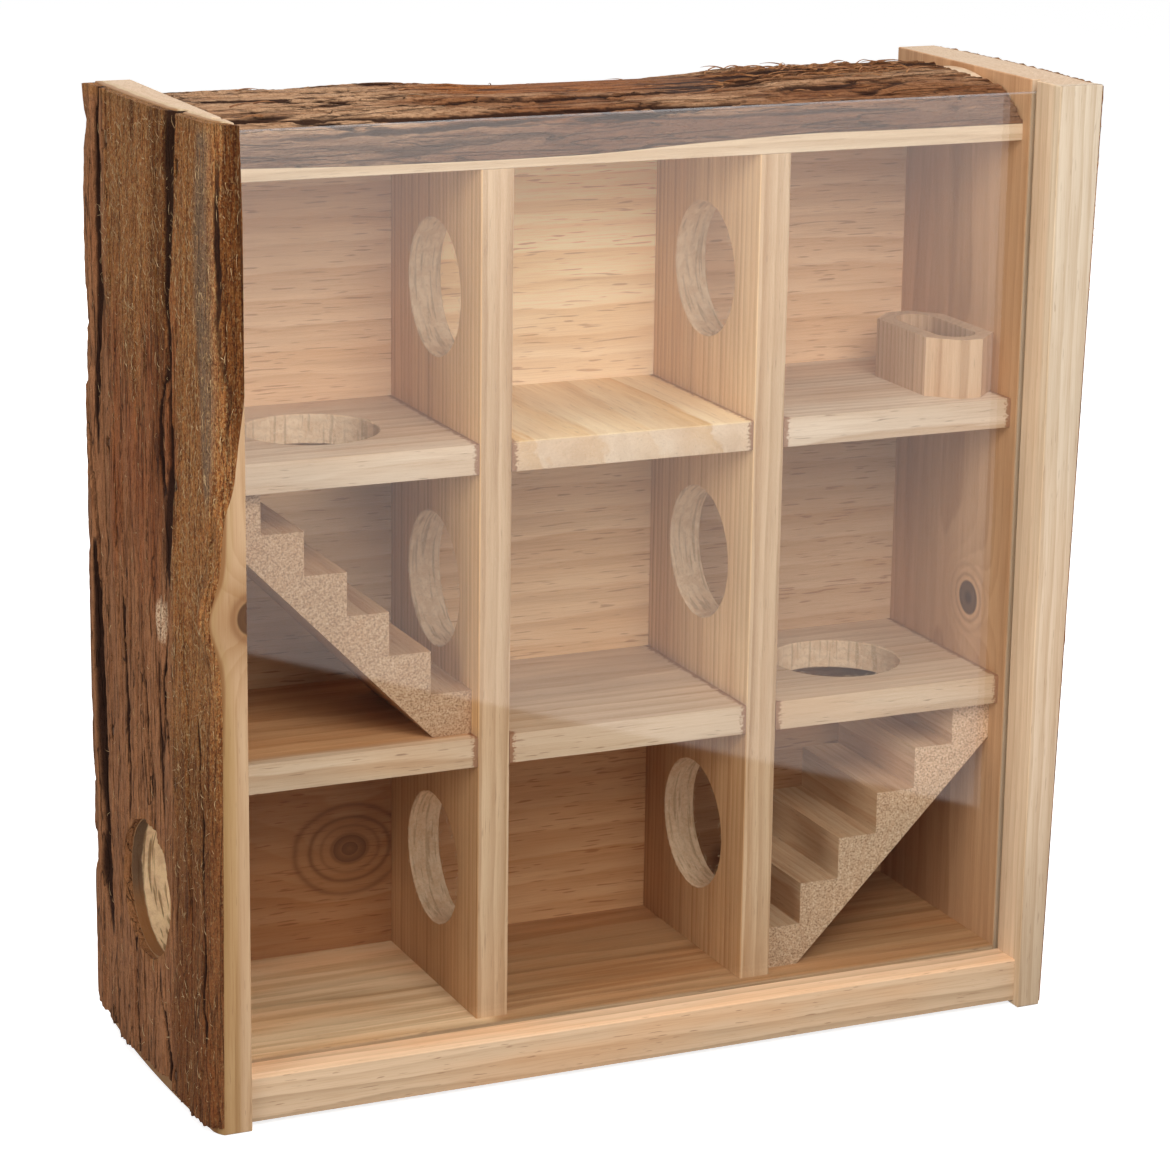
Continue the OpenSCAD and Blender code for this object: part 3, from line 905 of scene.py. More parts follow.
def barkFinish(name, look):
    material, finish = newFinish(name)
    x, y, z = finish.place()
    along, across, out = {"z": (z, y, x), "x": (x, y, z)}[look["grain"]]
    crack, plate, fuzz, grey, bast, pale, ruddy = [finish.attribute(name) for name in barkMasks]
    broad = finish.noise(across / 7, out / 7, along / 45, detail=3)
    streak = finish.noise(across * 0.8, out * 0.8, along * 0.035, detail=3, rough=0.6)
    fibre = finish.noise(across * 2.4, out * 2.4, along * 0.16, detail=3, rough=0.65)
    grit = finish.noise(x * 1.6, y * 1.6, z * 1.6, detail=3, rough=0.7)
    felt = finish.noise(across * 2.3, out * 2.3, along * 1.0, detail=2, rough=0.6, twist=0.8)
    split = finish.noise(across * 0.30, out * 0.30, along * 0.016 + 7, detail=2, twist=0.3)
    hairA = finish.noise(across * 1.8 + along * 0.55, out * 1.8, along * 0.6 - across * 0.2, detail=1)
    hairB = finish.noise(across * 1.7 - along * 0.5, out * 1.7, along * 0.65 + across * 0.2, detail=1)
    hairs = finish.math("MAXIMUM", finish.fade(hairA, 0.62, 0.68), finish.fade(hairB, 0.63, 0.69))
    hairShare = look["strawShare"] * (0.15 + 0.85 * fuzz) * (1 - ruddy * 0.6) * (1 - grey * 0.6)
    line = finish.math("ABSOLUTE", split - 0.5)
    calm = 1 - finish.math("MAXIMUM", grey * 0.6, plate * 0.35)

    colour = finish.mix(finish.fade(broad + plate * 0.4, 0.45, 0.85), look["red"], look["plate"])
    layers = [
        (fuzz * finish.fade(felt, 0.34, 0.58), "moss", "MIX"),
        (grey * finish.fade(fibre, 0.20, 0.5), "grey", "MIX"),
        (bast * finish.fade(grit, 0.25, 0.5), "bast", "MIX"),
        (ruddy, "ruddy", "MULTIPLY"),
        (finish.fade(streak, 0.48, 0.66) * calm, "shade", "MULTIPLY"),
        (finish.fade(fibre, 0.50, 0.66) * calm, "shade", "MULTIPLY"),
        (finish.fade(grit, 0.52, 0.64) * (0.45 + fuzz * 0.55), "shade", "MULTIPLY"),
        (finish.fade(felt, 0.42, 0.30) * fuzz, "shade", "MULTIPLY"),
        (finish.fade(felt, 0.57, 0.67) * fuzz * (0.6 - ruddy * 0.45), "straw", "MIX"),
        (hairs * hairShare, "straw", "MIX"),
        (finish.fade(line, 0.012, 0.003) * (0.8 - fuzz * 0.6), "deep", "MIX"),
        # the crack mask is painted near-black: partly the bark's dark inner colour, partly painted shade
        (finish.fade(crack, 0.1, 0.6) * 0.96, "deep", "MIX"),
        (pale * finish.fade(grit, 0.62, 0.45), "scar", "MIX"),
    ]
    for share, tone, blend in layers:
        colour = finish.mix(share, colour, look[tone], blend)
    height = fibre * 0.5 + grit * (0.3 + fuzz * 0.5) + hairs * 0.35 + streak * 0.4
    height = height + finish.fade(line, 0.0, 0.03) * 0.6
    rough = 0.78 + (grit - 0.5) * 0.3
    finish.solid(colour, rough, finish.bump(height, 0.0009), {"Specular IOR Level": 0.25})
    return material


# Loose fibres: tapered three-sided hairs that lie on the bark or stand in a bore

fibreForm = {
    "points": 6,
    "lift": 0.35,  # how high the tip ends, as a share of the bow in the middle
    "taper": 0.85,
    "crease": 80,  # degrees
    "shade": rgb(0.6, 0.5, 0.4),  # fine streaks on it
}


def growFibres(name, roots, ways, rises, lengths, thick, material, limit):
    count = len(roots)
    steps = np.linspace(0, 1, fibreForm["points"])
    t = steps[None, :, None]
    run = roots[:, None, :] + ways[:, None, :] * lengths[:, None, None] * t
    spine = run + rises[:, None, :] * (4 * t * (1 - t) + fibreForm["lift"] * t)
    spine = np.clip(spine, limit[0], limit[1])
    side = np.cross(ways, rises)
    side /= np.maximum(np.linalg.norm(side, axis=1), 1e-6)[:, None]
    up = rises / np.maximum(np.linalg.norm(rises, axis=1), 1e-6)[:, None]
    rings = []
    for k in range(3):
        turn = 2 * np.pi * k / 3
        offset = side * math.cos(turn) + up * math.sin(turn)
        radius = thick[:, None] * (1 - fibreForm["taper"] * steps)
        rings.append(spine + offset[:, None, :] * radius[:, :, None])
    points = np.clip(np.stack(rings, 2), limit[0], limit[1]).reshape(-1, 3)
    index = np.arange(count * len(steps) * 3).reshape(count, len(steps), 3)
    sides = []
    for k in range(3):
        n = (k + 1) % 3
        quads = [index[:, :-1, k], index[:, :-1, n], index[:, 1:, n], index[:, 1:, k]]
        sides.append(np.stack(quads, -1).reshape(-1, 4))
    caps = [index[:, 0, ::-1], index[:, -1, :]]
    faces = [tuple(f) for part in (sides, caps) for f in np.concatenate(part)]
    fibres = addPiece(name, points, faces, material, fibreForm["crease"])
    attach(fibres, "case")
    return fibres


def fibreFinish(name, dark, light):
    material, finish = newFinish(name)
    x, y, z = finish.place()
    tone = finish.noise(x * 0.5, y * 0.5, z * 0.5, detail=2)
    fine = finish.noise(x * 3, y * 3, z * 3, detail=2)
    colour = finish.mix(finish.fade(tone, 0.35, 0.65), dark, light)
    colour = finish.mix(fine * 0.4, colour, fibreForm["shade"], "MULTIPLY")
    finish.solid(colour, 0.7 + (fine - 0.5) * 0.3, finish.bump(fine, 0.0001, 0.5))
    return material


sideBark = {
    "left": {
        "seed": 40,
        "thick": 2.6,
        "topRagged": 0.7,
        "bottomRagged": 2.2,
        # y, and how high above the floor the bark ends there
        "bottomEdge": [(-49, 1.1), (-35, 1.1), (-28, 1.9), (-18, 1.9), (-16.5, 5.3), (-14, 4.4), (-3, 3.8),
                       (10, 2.9), (29, 0.5), (31, 4.8), (36, 2.4), (49, 6.4)],
        "backRagged": 1.2,
        "cells": (150, 312),
        "furrow": 0.7,
        "split": 0.35,
        "flake": 0.35,
        "ridge": {"y": (40.0, 45.0), "high": 1.7},  # the back edge stands out
        "cracks": [  # height, y, half width, depth
            [(286, -15.8, 4.0, 2.5), (261, -15.9, 3.4, 2.5), (243, -15.6, 2.4, 2.4), (233, -14.6, 2.0, 2.3),
             (226, -16.9, 1.9, 2.3), (213, -17.2, 1.9, 2.3), (203, -18.6, 1.3, 2.2), (191, -18.8, 1.3, 2.2),
             (177, -17.6, 3.4, 2.3), (162, -16.0, 2.8, 2.3), (154, -17.2, 1.2, 1.6)],
            [(213, -15.4, 1.0, 2.0), (203, -10.8, 1.2, 2.1), (191, -10.6, 1.2, 2.1), (179, -13.5, 1.6, 2.2)],
            [(138, -17, 0.7, 1.8), (123, -12.9, 0.9, 2.0), (114, -15.9, 0.9, 2.0), (103, -18, 0.6, 1.6)],
            [(127, -9.8, 0.6, 1.7), (113, -10.6, 0.7, 1.8), (98, -12.1, 0.7, 1.8), (84, -14.4, 0.5, 1.5)],
            [(150, 21.5, 0.5, 1.4), (141, 20.9, 0.8, 2.0), (112, 18.6, 1.0, 2.2), (90, 15.4, 0.8, 2.0),
             (75, 15.9, 0.5, 1.4)],
            [(138, 4, 0.5, 1.5), (131, 3, 0.8, 2.0), (115, 0.2, 0.9, 2.1), (101, -2.4, 0.7, 1.8),
             (88, -4, 0.4, 1.2)],
            [(286, 39.0, 1.7, 2.0), (252, 40.0, 1.9, 2.0), (224, 40.0, 1.5, 1.8), (199, 41.2, 1.1, 1.2),
             (180, 42.0, 0.6, 0.6)],
            [(150, 43.5, 1.0, 1.4), (118, 42.6, 3.0, 2.2), (92, 41.2, 3.4, 2.3), (67, 38.5, 3.0, 2.3),
             (51, 39.5, 3.8, 2.3), (34, 35.0, 1.8, 1.6)],
            [(275, -41.9, 0.6, 0.5), (252, -42.8, 0.9, 0.9), (231, -44.1, 0.7, 0.55), (212, -46.8, 0.6, 0.5),
             (193, -48.0, 0.5, 0.4)],
            [(117, -37.9, 0.5, 1.4), (103, -40.2, 0.7, 1.9), (90, -42.3, 0.8, 2.0), (75, -41.3, 0.7, 1.9),
             (61, -44.2, 0.8, 1.9), (40, -43.4, 0.7, 1.8), (28, -44.8, 0.5, 1.4)],
            [(38, 12.1, 0.6, 1.6), (14, 10.0, 0.9, 2.1), (0, 9.0, 0.9, 2.2)],
            [(32, -10.1, 0.6, 1.6), (20, -15.8, 0.9, 2.0), (7, -18.2, 1.0, 2.2), (0, -18.5, 1.0, 2.2)],
        ],
        "greyPath": [(286, -37.0, 2.6), (268, -36.6, 3.6), (251, -37.4, 4.2), (230, -38.6, 4.4),
                     (219, -40.6, 3.6), (206, -41.6, 3.2), (192, -42.6, 2.6), (180, -43.4, 1.2)],
        # borders of the reddish parts: in front of the first path, and just behind the second
        "ruddy": [[(286, -43.0), (252, -43.2), (231, -44.6), (212, -47.0), (190, -50.0)],
                  [(286, -11.5), (243, -13.5), (213, -14.0), (177, -13.0), (150, -14.0)]],
        "scar": {"y": -12.0, "z": 142.4, "wide": 4.6, "high": 5.9},
        "fuzzFrom": (190.0, 245.0),  # heights between which the bark turns fuzzy
        "fuzzFront": (-26.0, -16.0),  # and the y in front of which it is fuzzy further down
        "fuzzBack": (30.0, 36.0),
        "plateUpTo": (120.0, 190.0),  # heights between which the smooth plates end
    },
    "right": {
        "seed": 77,
        "thick": 2.6,
        "topRagged": 0.8,
        "bottomRagged": 2.0,
        "bottomEdge": [(-49, 0.3), (49, 0.3)],
        "backRagged": 1.4,
        "cells": (150, 300),
        "furrow": 0.8,
        "split": 0.4,
        "flake": 0.45,
        "plate": 9.5,
        "ridge": None,
        "cracks": [
            [(286, 12, 1.2, 2.0), (230, 15, 1.7, 2.3), (170, 13, 1.2, 2.0), (120, 16, 0.8, 1.6)],
            [(190, -22, 0.7, 1.6), (120, -19, 1.3, 2.2), (60, -21, 1.5, 2.3), (4, -18, 1.4, 2.2)],
            [(150, 36, 0.8, 1.7), (90, 33, 1.2, 2.1), (4, 36, 1.2, 2.1)],
        ],
        "greyPath": [(200, 27, 2.0), (150, 26, 4.0), (90, 25, 3.0), (60, 26, 1.0)],
        "ruddy": None,
        "scar": {"y": 4.0, "z": 205.0, "wide": 3.0, "high": 5.0},
        "fuzzFrom": (150.0, 260.0),
        "fuzzFront": (-60.0, -50.0),
        "fuzzBack": (40.0, 47.0),
        "plateUpTo": (140.0, 230.0),
    },
}


nailRoom = 6.0  # mm, points of one nail lie within this
nailHole = {"from": 1.3, "to": 2.0, "deep": 2.2, "dark": 0.8}  # round a nail's head in the bark, mm
barkThinnest = 0.25  # mm
barkCrease = 70  # degrees


def nailSpots(node):  # middle of each nail of a node, as points in mm
    points = np.array([v.co for v in nodes[node].data.vertices]) / mm
    spots = []
    for point in points:
        if not any(np.hypot(*(point - s)[1:]) < nailRoom for s in spots):
            near = points[np.hypot(*(points - point)[:, 1:].T) < nailRoom]
            spots.append((near.min(0) + near.max(0)) / 2)
    return np.array(spots)


def makeSideBark(side, material):
    log = sideLogs[side]
    look = sideBark[side]
    seed = look["seed"]
    rows, columns = look["cells"]
    v = np.linspace(0, 1, rows)[:, None]
    u = np.linspace(0, 1, columns)[None, :]
    nominal = v * caseH * np.ones_like(u)
    start = frontOfWood(log, nominal, look["thick"] * 1.3)
    stop = backY - look["backRagged"] * (0.5 + 0.5 * rollNoise(nominal / 13, nominal * 0, seed + 20))
    y = start + u * (stop - start)
    low = softCurve(look["bottomEdge"], y, 0.6)[0]
    low = low + look["bottomRagged"] * (0.5 + 0.5 * rollNoise(y / 1.4, y * 0, seed + 21))
    high = caseH - look["topRagged"] * (0.5 + 0.5 * rollNoise(y / 3, y * 0, seed + 22))
    z = low + v * (high - low)

    kept = np.ones((rows - 1, columns - 1), bool)
    rimNear = np.full_like(y, 99.0)
    if side == "left":
        cy = y - entrySet["y"]
        cz = z - entrySet["z"]
        rim = boreSet["radius"] + 0.5 + 0.5 * rollNoise(np.arctan2(cz, cy) * 5, y * 0, seed + 23)
        inside = np.hypot(cy, cz) < rim
        kept = ~(inside[:-1, :-1] & inside[1:, :-1] & inside[:-1, 1:] & inside[1:, 1:])
        far = np.hypot(cy, cz)
        pull = np.where(inside, rim / np.maximum(far, 1), 1.0)  # the cells over the rim close up to it
        y = entrySet["y"] + cy * pull
        z = entrySet["z"] + cz * pull
        rimNear = np.abs(np.hypot(y - entrySet["y"], z - entrySet["z"]) - rim)

    wood = woodDepth(log, y, z)
    slope = np.gradient(wood, axis=1) / np.maximum(np.gradient(y, axis=1), 0.05)
    stretch = np.sqrt(1 + np.clip(slope, -1.2, 1.2) ** 2)
    atBack = rise(y, *look["fuzzBack"])
    fuzz = rise(z + 22 * rollNoise(y / 14, z / 40, seed + 26), *look["fuzzFrom"]) * (1 - atBack)
    inFront = 1 - rise(y + 4 * rollNoise(y / 8, z / 22, seed + 27), *look["fuzzFront"])
    frontFuzz = 0.4 + 0.6 * rise(z + 15 * rollNoise(y / 6, z / 20, seed + 28), 60, 115)
    fuzz = np.maximum(fuzz, inFront * frontFuzz)
    plate = 1 - rise(z + 30 * rollNoise(y / 12, z / 60, seed + 29), *look["plateUpTo"])
    plate = np.maximum(plate * (1 - 0.6 * inFront), atBack)
    ruddy = inFront * (1 - rise(z, 90, 140)) * 0.72
    if look["ruddy"]:
        borders = [softCurve(path, z, 4.0)[0] for path in look["ruddy"]]
        ruddy = np.maximum(ruddy, 1 - rise(y, borders[0] - 0.8, borders[0] + 0.8))
        band = rise(y, borders[1] - 2, borders[1] + 1) * (1 - rise(y, borders[1] + 7, borders[1] + 12))
        ruddy = np.maximum(ruddy, 0.7 * band * rise(z, 140, 190))
    depth, crack, _ = barkRelief(y, z, look, fuzz)
    fine = fineCracks(look, (frontY, backY), (0, caseH))
    thin, thinDark, lift = cutCracks(y, z, fine, seed + 40, barkLook["step"])
    depth = np.maximum(depth, thin * (1 - 0.6 * fuzz)) + lift
    crack = np.maximum(crack * 0.6, thinDark * 0.5 * (1 - 0.55 * fuzz)) * rise(rimNear, 0.5, 3.0)
    cut, dark, _ = cutCracks(y, z, look["cracks"], seed + 30)
    dark = dark * rise(rimNear, 0.3, 1.5)
    stripAt, stripWide = softCurve(look["greyPath"], z, 8.0)
    keys = [p[0] for p in look["greyPath"]]
    stripEnds = rise(z, min(keys) - 4, min(keys) + 8) * (1 - rise(z, max(keys) - 2, max(keys) + 6))
    grey = np.exp(-(np.abs(y - stripAt) / stripWide) ** 4) * stripEnds
    depth = np.maximum(depth * (1 - 0.8 * grey), cut)
    crack = np.maximum(crack * (1 - 0.8 * grey), dark)
    bastAt = np.maximum(rise(z, caseH - 4.0, caseH - 1.5), 0.4 - 0.4 * rise(rimNear, 0.6, 2.2))
    scar = look["scar"]
    pale = ((y - scar["y"]) / scar["wide"]) ** 2 + ((z - scar["z"]) / scar["high"]) ** 2
    pale = 1 - rise(pale + 0.4 * rollNoise(y / 1.5, z / 4, seed + 31), 0.7, 1.2)
    for spot in nailSpots(side + "_nails"):
        hole = 1 - rise(np.hypot(y - spot[1], z - spot[2]), nailHole["from"], nailHole["to"])
        depth = np.maximum(depth, hole * nailHole["deep"])
        crack = np.maximum(crack, hole * nailHole["dark"])
    taper = look["thick"] - log["fill"] * (1 - rise(y, frontY, frontY + fillReach))
    full = taper * stretch - np.minimum(depth, taper - barkThinnest) * stretch
    ridge = look["ridge"]
    if ridge:
        full = full + ridge["high"] * rise(y, *ridge["y"]) * (1 - rise(depth, 0.8, 2.0))
    barkBox = boxMm(side + "_bark")
    reach = np.max(np.abs([barkBox[0][0], barkBox[1][0]])) - wallX - 0.01
    inner = np.maximum(wood, 0)
    outer = np.maximum(np.minimum(wood + full, reach), inner + barkThinnest)
    sign = log["sign"]
    outerGrid = np.stack([sign * (wallX + outer), y, z], -1)
    innerGrid = np.stack([sign * (wallX + inner), y, z], -1)
    points, faces, used = shell(outerGrid, innerGrid, kept)
    piece = addPiece(side + "Bark", points, faces if sign > 0 else faces[:, ::-1], material, barkCrease)
    paint(piece, used, crack, plate, fuzz, grey, bastAt, pale, ruddy)
    fit(piece, "case", "bark", side + "_bark")
    return outerGrid, fuzz


sideBarkColours = {
    "grain": "z",
    "plate": rgb(0.350, 0.152, 0.066),
    "red": rgb(0.310, 0.108, 0.040),
    "moss": rgb(0.420, 0.172, 0.046),
    "grey": rgb(0.225, 0.135, 0.080),
    "bast": rgb(0.340, 0.150, 0.050),
    "ruddy": rgb(0.46, 0.38, 0.28),
    "shade": rgb(0.50, 0.40, 0.33),
    "straw": rgb(0.560, 0.350, 0.150),
    "scar": rgb(0.640, 0.430, 0.270),
    # deep: near-black for cracks, partly the bark's dark inner colour and partly painted shade
    "deep": rgb(0.024, 0.008, 0.004),
    "strawShare": 0.6,
}
sideBarkFinish = barkFinish("sideBark", sideBarkColours)
fibreRoom = [np.array(cadLow) / mm + 0.02, np.array(cadHigh) / mm - 0.02]  # no fibre leaves the box
strawFinish = fibreFinish("strawFibre", rgb(0.30, 0.16, 0.065), rgb(0.66, 0.47, 0.25))
sideFibres = {
    "count": 1500,
    "long": (1.0, 4.6),  # mm
    "thick": (0.06, 0.13),
    "rise": (0.1, 0.5),
    "rows": (2, 2),  # rows and columns of the bark's grid that stay free at its two ends
    "columns": (2, 2),
    "stray": 0.1,  # share of them that grows where the bark isn't fuzzy or torn
    "lean": 0.8,
    "clear": 3.0,  # mm round the entrance
}


def scatter(rng, grid, share, look):  # roots on the bark, most of them where share is high
    rows, columns = grid.shape[:2]
    tries = look["count"] * 3
    row = rng.integers(look["rows"][0], rows - look["rows"][1], tries)
    column = rng.integers(look["columns"][0], columns - look["columns"][1], tries)
    taken = rng.random(tries) < look["stray"] + (1 - look["stray"]) * share[row, column]
    return grid[row[taken], column[taken]][:look["count"]]


def growSideFibres(side, grid, fuzz, look):
    rng = np.random.default_rng(sideBark[side]["seed"])
    spots = scatter(rng, grid, fuzz, look)
    if side == "left":
        far = np.hypot(spots[:, 1] - entrySet["y"], spots[:, 2] - entrySet["z"])
        spots = spots[far > boreSet["radius"] + look["clear"]]
    count = len(spots)
    lean = rng.normal(0, look["lean"], count)
    ways = np.stack([0 * lean, np.sin(lean), np.cos(lean) * rng.choice([-1, 1], count)], 1)
    rises = np.outer(rng.uniform(*look["rise"], count), [sideLogs[side]["sign"], 0, 0])
    lengths = rng.uniform(*look["long"], count)
    thick = rng.uniform(*look["thick"], count)
    fibres = growFibres(side + "BarkFibres", spots, ways, rises, lengths, thick, strawFinish, fibreRoom)


for side in ("left", "right"):
    grid, fuzz = makeSideBark(side, sideBarkFinish)
    growSideFibres(side, grid, fuzz, sideFibres)
print("side bark grown")


# Top slab: half-round, its bark runs along it

topLow, topHigh = boxMm("top_slab")
topSet = {
    "radius": 62.0,
    "strip": 4.0,
    # x, and the height at which the bark starts over the pale sawn strip
    "edge": [(-125, 271.5), (-87, 270.3), (-43, 270.0), (-12, 270.2), (19, 271.8), (51, 272.9), (84, 272.6),
             (125, 272.5)],
    "edgeReach": 10.0,
    "sections": 64,
    "columns": 40,
    "ease": 0.4,
    "endEase": 0.2,
}
topMid = (topLow[1] + topHigh[1]) / 2


def topWood(x, y):  # height of the wood under the bark
    plain = topHigh[2] - topSet["radius"] + np.sqrt(topSet["radius"] ** 2 - (y - topMid) ** 2)
    shift = softCurve(topSet["edge"], x, 8.0)[0] - (topLow[2] + topSet["strip"])
    return plain + shift * np.exp(-((y - topLow[1]) / topSet["edgeReach"]) ** 2)


def makeTopSlab(material):
    stations = np.linspace(topLow[0], topHigh[0], topSet["sections"])
    ys = np.linspace(topLow[1], topHigh[1], topSet["columns"])
    ease = topSet["ease"]
    outlines = []
    for x in stations:
        heights = topWood(np.full_like(ys, x), ys)
        arc = [(y, h, 0) for y, h in zip(ys[::-1], heights[::-1])]
        corners = [(topLow[1], topLow[2], ease), (topHigh[1], topLow[2], ease), *arc]
        outlines.append(roundOutline(corners))
    points, faces = loft(outlines, stations, "x", topSet["endEase"])
    return fit(addPiece("topSlab", points, faces, material), "case", "slab_wood", "top_slab")


topBarkSet = {
    "seed": 140,
    "thick": 2.6,
    "edgeThick": 0.9,
    "thinnest": 0.3,
    "cells": (232, 196),
    "plate": 7.0,
    "plateLong": 80.0,
    "line": 0.08,
    "furrow": 1.0,
    "split": 0.4,
    "flake": 1.0,
    "fine": {"count": 44, "long": (18.0, 90.0), "wide": (0.4, 1.1), "deep": (1.0, 2.3), "lean": 0.03},
    "step": 0.5,
    "cracks": [  # x, y, half width, depth
        [(-118, -14, 0.8, 1.7), (-60, -17, 1.0, 2.0), (-10, -16, 1.1, 2.1), (40, -19, 0.8, 1.8)],
        [(-124, 2, 0.9, 1.9), (-70, -2, 1.1, 2.1), (-5, 0, 0.9, 1.9), (30, -3, 0.8, 1.6)],
        [(-110, 16, 0.9, 1.9), (-40, 13, 1.1, 2.0), (20, 17, 0.9, 1.8)],
        [(-60, 29, 0.9, 1.9), (10, 31, 1.1, 2.1), (90, 28, 0.9, 1.8)],
    ],
    "pale": (-82.0, -48.0),  # x between which the pale plates of the left end run out
    # where the outer bark came off
    "bare": {"x": (-62.0, -40.0, 6.0, 30.0), "y": (-4.0, 36.0), "deep": 0.8},
    # behind and to the right of these it is torn into strands
    "tufts": {"x": (30.0, 70.0), "y": (-8.0, 2.0)},
    "dip": {"x": (-56.0, -18.0, 26.0, 58.0), "deep": 1.75},  # the ridge is lower between these x
    "chip": {"y": (-16.0, -4.0), "deep": 9.0},  # the right end is broken back here, mm
}


def makeTopBark(material):
    look = topBarkSet
    seed = look["seed"]
    rows, columns = look["cells"]
    v = np.linspace(0, 1, rows)[:, None]
    u = np.linspace(0, 1, columns)[None, :]
    y = topLow[1] + u * (topHigh[1] - topLow[1]) * np.ones_like(v)
    chip = look["chip"]
    broken = 0.75 + 0.35 * rollNoise(y / 4, y * 0, seed + 20)
    end = topHigh[0] - chip["deep"] * rise(y, *chip["y"]) * broken
    end = end - 0.6 * (1 + rollNoise(y / 2, y * 0, seed + 21))
    x = topLow[0] + v * (end - topLow[0])
    wood = topWood(x, y)
    front = 1 - rise(y, topLow[1] + 4, topLow[1] + 12)
    depth, crack, flakes = barkRelief(y, x, look, 0.6 * front)
    fine = fineCracks(look, (topLow[1], topHigh[1]), (topLow[0], topHigh[0]))
    thin, thinDark, lift = cutCracks(y, x, fine, seed + 40, look["step"])
    depth = np.maximum(depth, thin * (1 - 0.5 * front)) + lift * (1 - front)
    crack = np.maximum(crack * 0.7, thinDark * 0.65 * (1 - 0.4 * front))
    cut, dark, _ = cutCracks(y, x, look["cracks"], seed + 30)
    bare = look["bare"]
    ragged = 9 * rollNoise(y / 7, x / 30, seed + 22)
    behind = rise(y + ragged * 0.4, bare["y"][0] - 2, bare["y"][0] + 2)
    behind = behind * (1 - rise(y + ragged * 0.4, bare["y"][1] - 2, bare["y"][1] + 3))
    bareMask = rise(x + ragged, *bare["x"][:2]) * (1 - rise(x + ragged, *bare["x"][2:])) * behind
    torn = rise(x + ragged, *look["tufts"]["x"]) * rise(y, *look["tufts"]["y"])
    strands = rollNoise(y / 1.3 + 1.2 * rollNoise(y / 6, x / 14, seed + 24), x / 13, seed + 23)
    depth = np.maximum(depth, cut * (1 - 0.8 * front)) * (1 - 0.5 * bareMask)
    depth = depth + bareMask * (bare["deep"] + 0.45 * strands) + torn * (0.5 + 0.9 * strands)
    crack = np.maximum(crack, dark * (1 - 0.8 * front)) * (1 - 0.75 * bareMask)
    crack = np.maximum(crack, np.maximum(bareMask * 0.45, torn * 0.8) * rise(strands, 0.15, 0.6))
    dip = look["dip"]
    depth = depth + dip["deep"] * rise(x, *dip["x"][:2]) * (1 - rise(x, *dip["x"][2:])) * rise(y, -20, 5)
    taper = look["edgeThick"] + (look["thick"] - look["edgeThick"]) * rise(y, topLow[1], topLow[1] + 6)
    full = taper - np.minimum(np.maximum(depth, 0.0), taper - look["thinnest"])
    outer = wood + full / np.maximum(np.cos(np.arcsin((y - topMid) / topSet["radius"])), 0.6)
    outer = np.minimum(outer, topHigh[2] + look["thick"] - 0.02)
    kept = np.ones((rows - 1, columns - 1), bool)
    points, faces, used = shell(np.stack([x, y, outer], -1), np.stack([x, y, wood], -1), kept)
    piece = addPiece("topBark", points, faces[:, ::-1], material, barkCrease)
    grey = front * 0.75
    paleEnd = 1 - rise(x + 12 * rollNoise(y / 5, x / 40, seed + 25), *look["pale"])
    plate = np.clip(0.35 * flakes + 0.75 * paleEnd, 0, 1)
    paint(piece, used, crack, plate, 0.25 * torn, grey, bareMask, 0 * y, torn * 0.5)
    fit(piece, "case", "bark", "top_bark")
    return np.stack([x, y, outer], -1), torn


topBarkColours = {
    **sideBarkColours,
    "grain": "x",
    "plate": rgb(0.470, 0.275, 0.155),
    "red": rgb(0.250, 0.105, 0.044),
    "moss": rgb(0.280, 0.130, 0.055),
    "grey": rgb(0.150, 0.073, 0.046),
    "bast": rgb(0.310, 0.112, 0.034),
    "strawShare": 0.3,
}
topFinish = woodFinish("topSlabWood", {
    **slabLook, "grain": "x", "seed": 5, "pith": (14.0, 228.0),
    "tints": [(rgb(1.12, 1.10, 1.07), ("z", 250.0, 251.0))],
})
makeTopSlab(topFinish)
topGrid, bareShare = makeTopBark(barkFinish("topBark", topBarkColours))
topFibres = {
    "count": 700,
    "long": (3.0, 11.0),  # mm
    "thick": (0.14, 0.42),
    "rise": (0.15, 0.8),
    "rows": (4, 12),
    "columns": (24, 4),
    "stray": 0.02,
    "lean": 0.35,
    "turnBack": 18.0,  # mm from the right end, where they all point to the left
}


def growTopFibres(grid, share, look):
    rng = np.random.default_rng(topBarkSet["seed"])
    spots = scatter(rng, grid, share, look)
    count = len(spots)
    lean = rng.normal(0, look["lean"], count)
    ways = np.stack([np.cos(lean) * rng.choice([-1, 1], count), np.sin(lean), 0 * lean], 1)
    atEnd = spots[:, 0] > topHigh[0] - look["turnBack"]
    ways[:, 0] = np.where(atEnd, -np.abs(ways[:, 0]), ways[:, 0])
    rises = np.outer(rng.uniform(*look["rise"], count), [0, 0, 1])
    lengths = rng.uniform(*look["long"], count)
    thick = rng.uniform(*look["thick"], count)
    redFinish = fibreFinish("redFibre", rgb(0.17, 0.06, 0.022), rgb(0.36, 0.17, 0.07))
    fibres = growFibres("topBarkFibres", spots, ways, rises, lengths, thick, redFinish, fibreRoom)


growTopFibres(topGrid, bareShare, topFibres)
print("top slab and its bark laid")


# Boards: planed pine with eased edges, and bored where a passage goes through

boardLook = {"ease": 0.4, "endEase": 0.05, "step": 9.0, "uneven": 0.05}  # mm


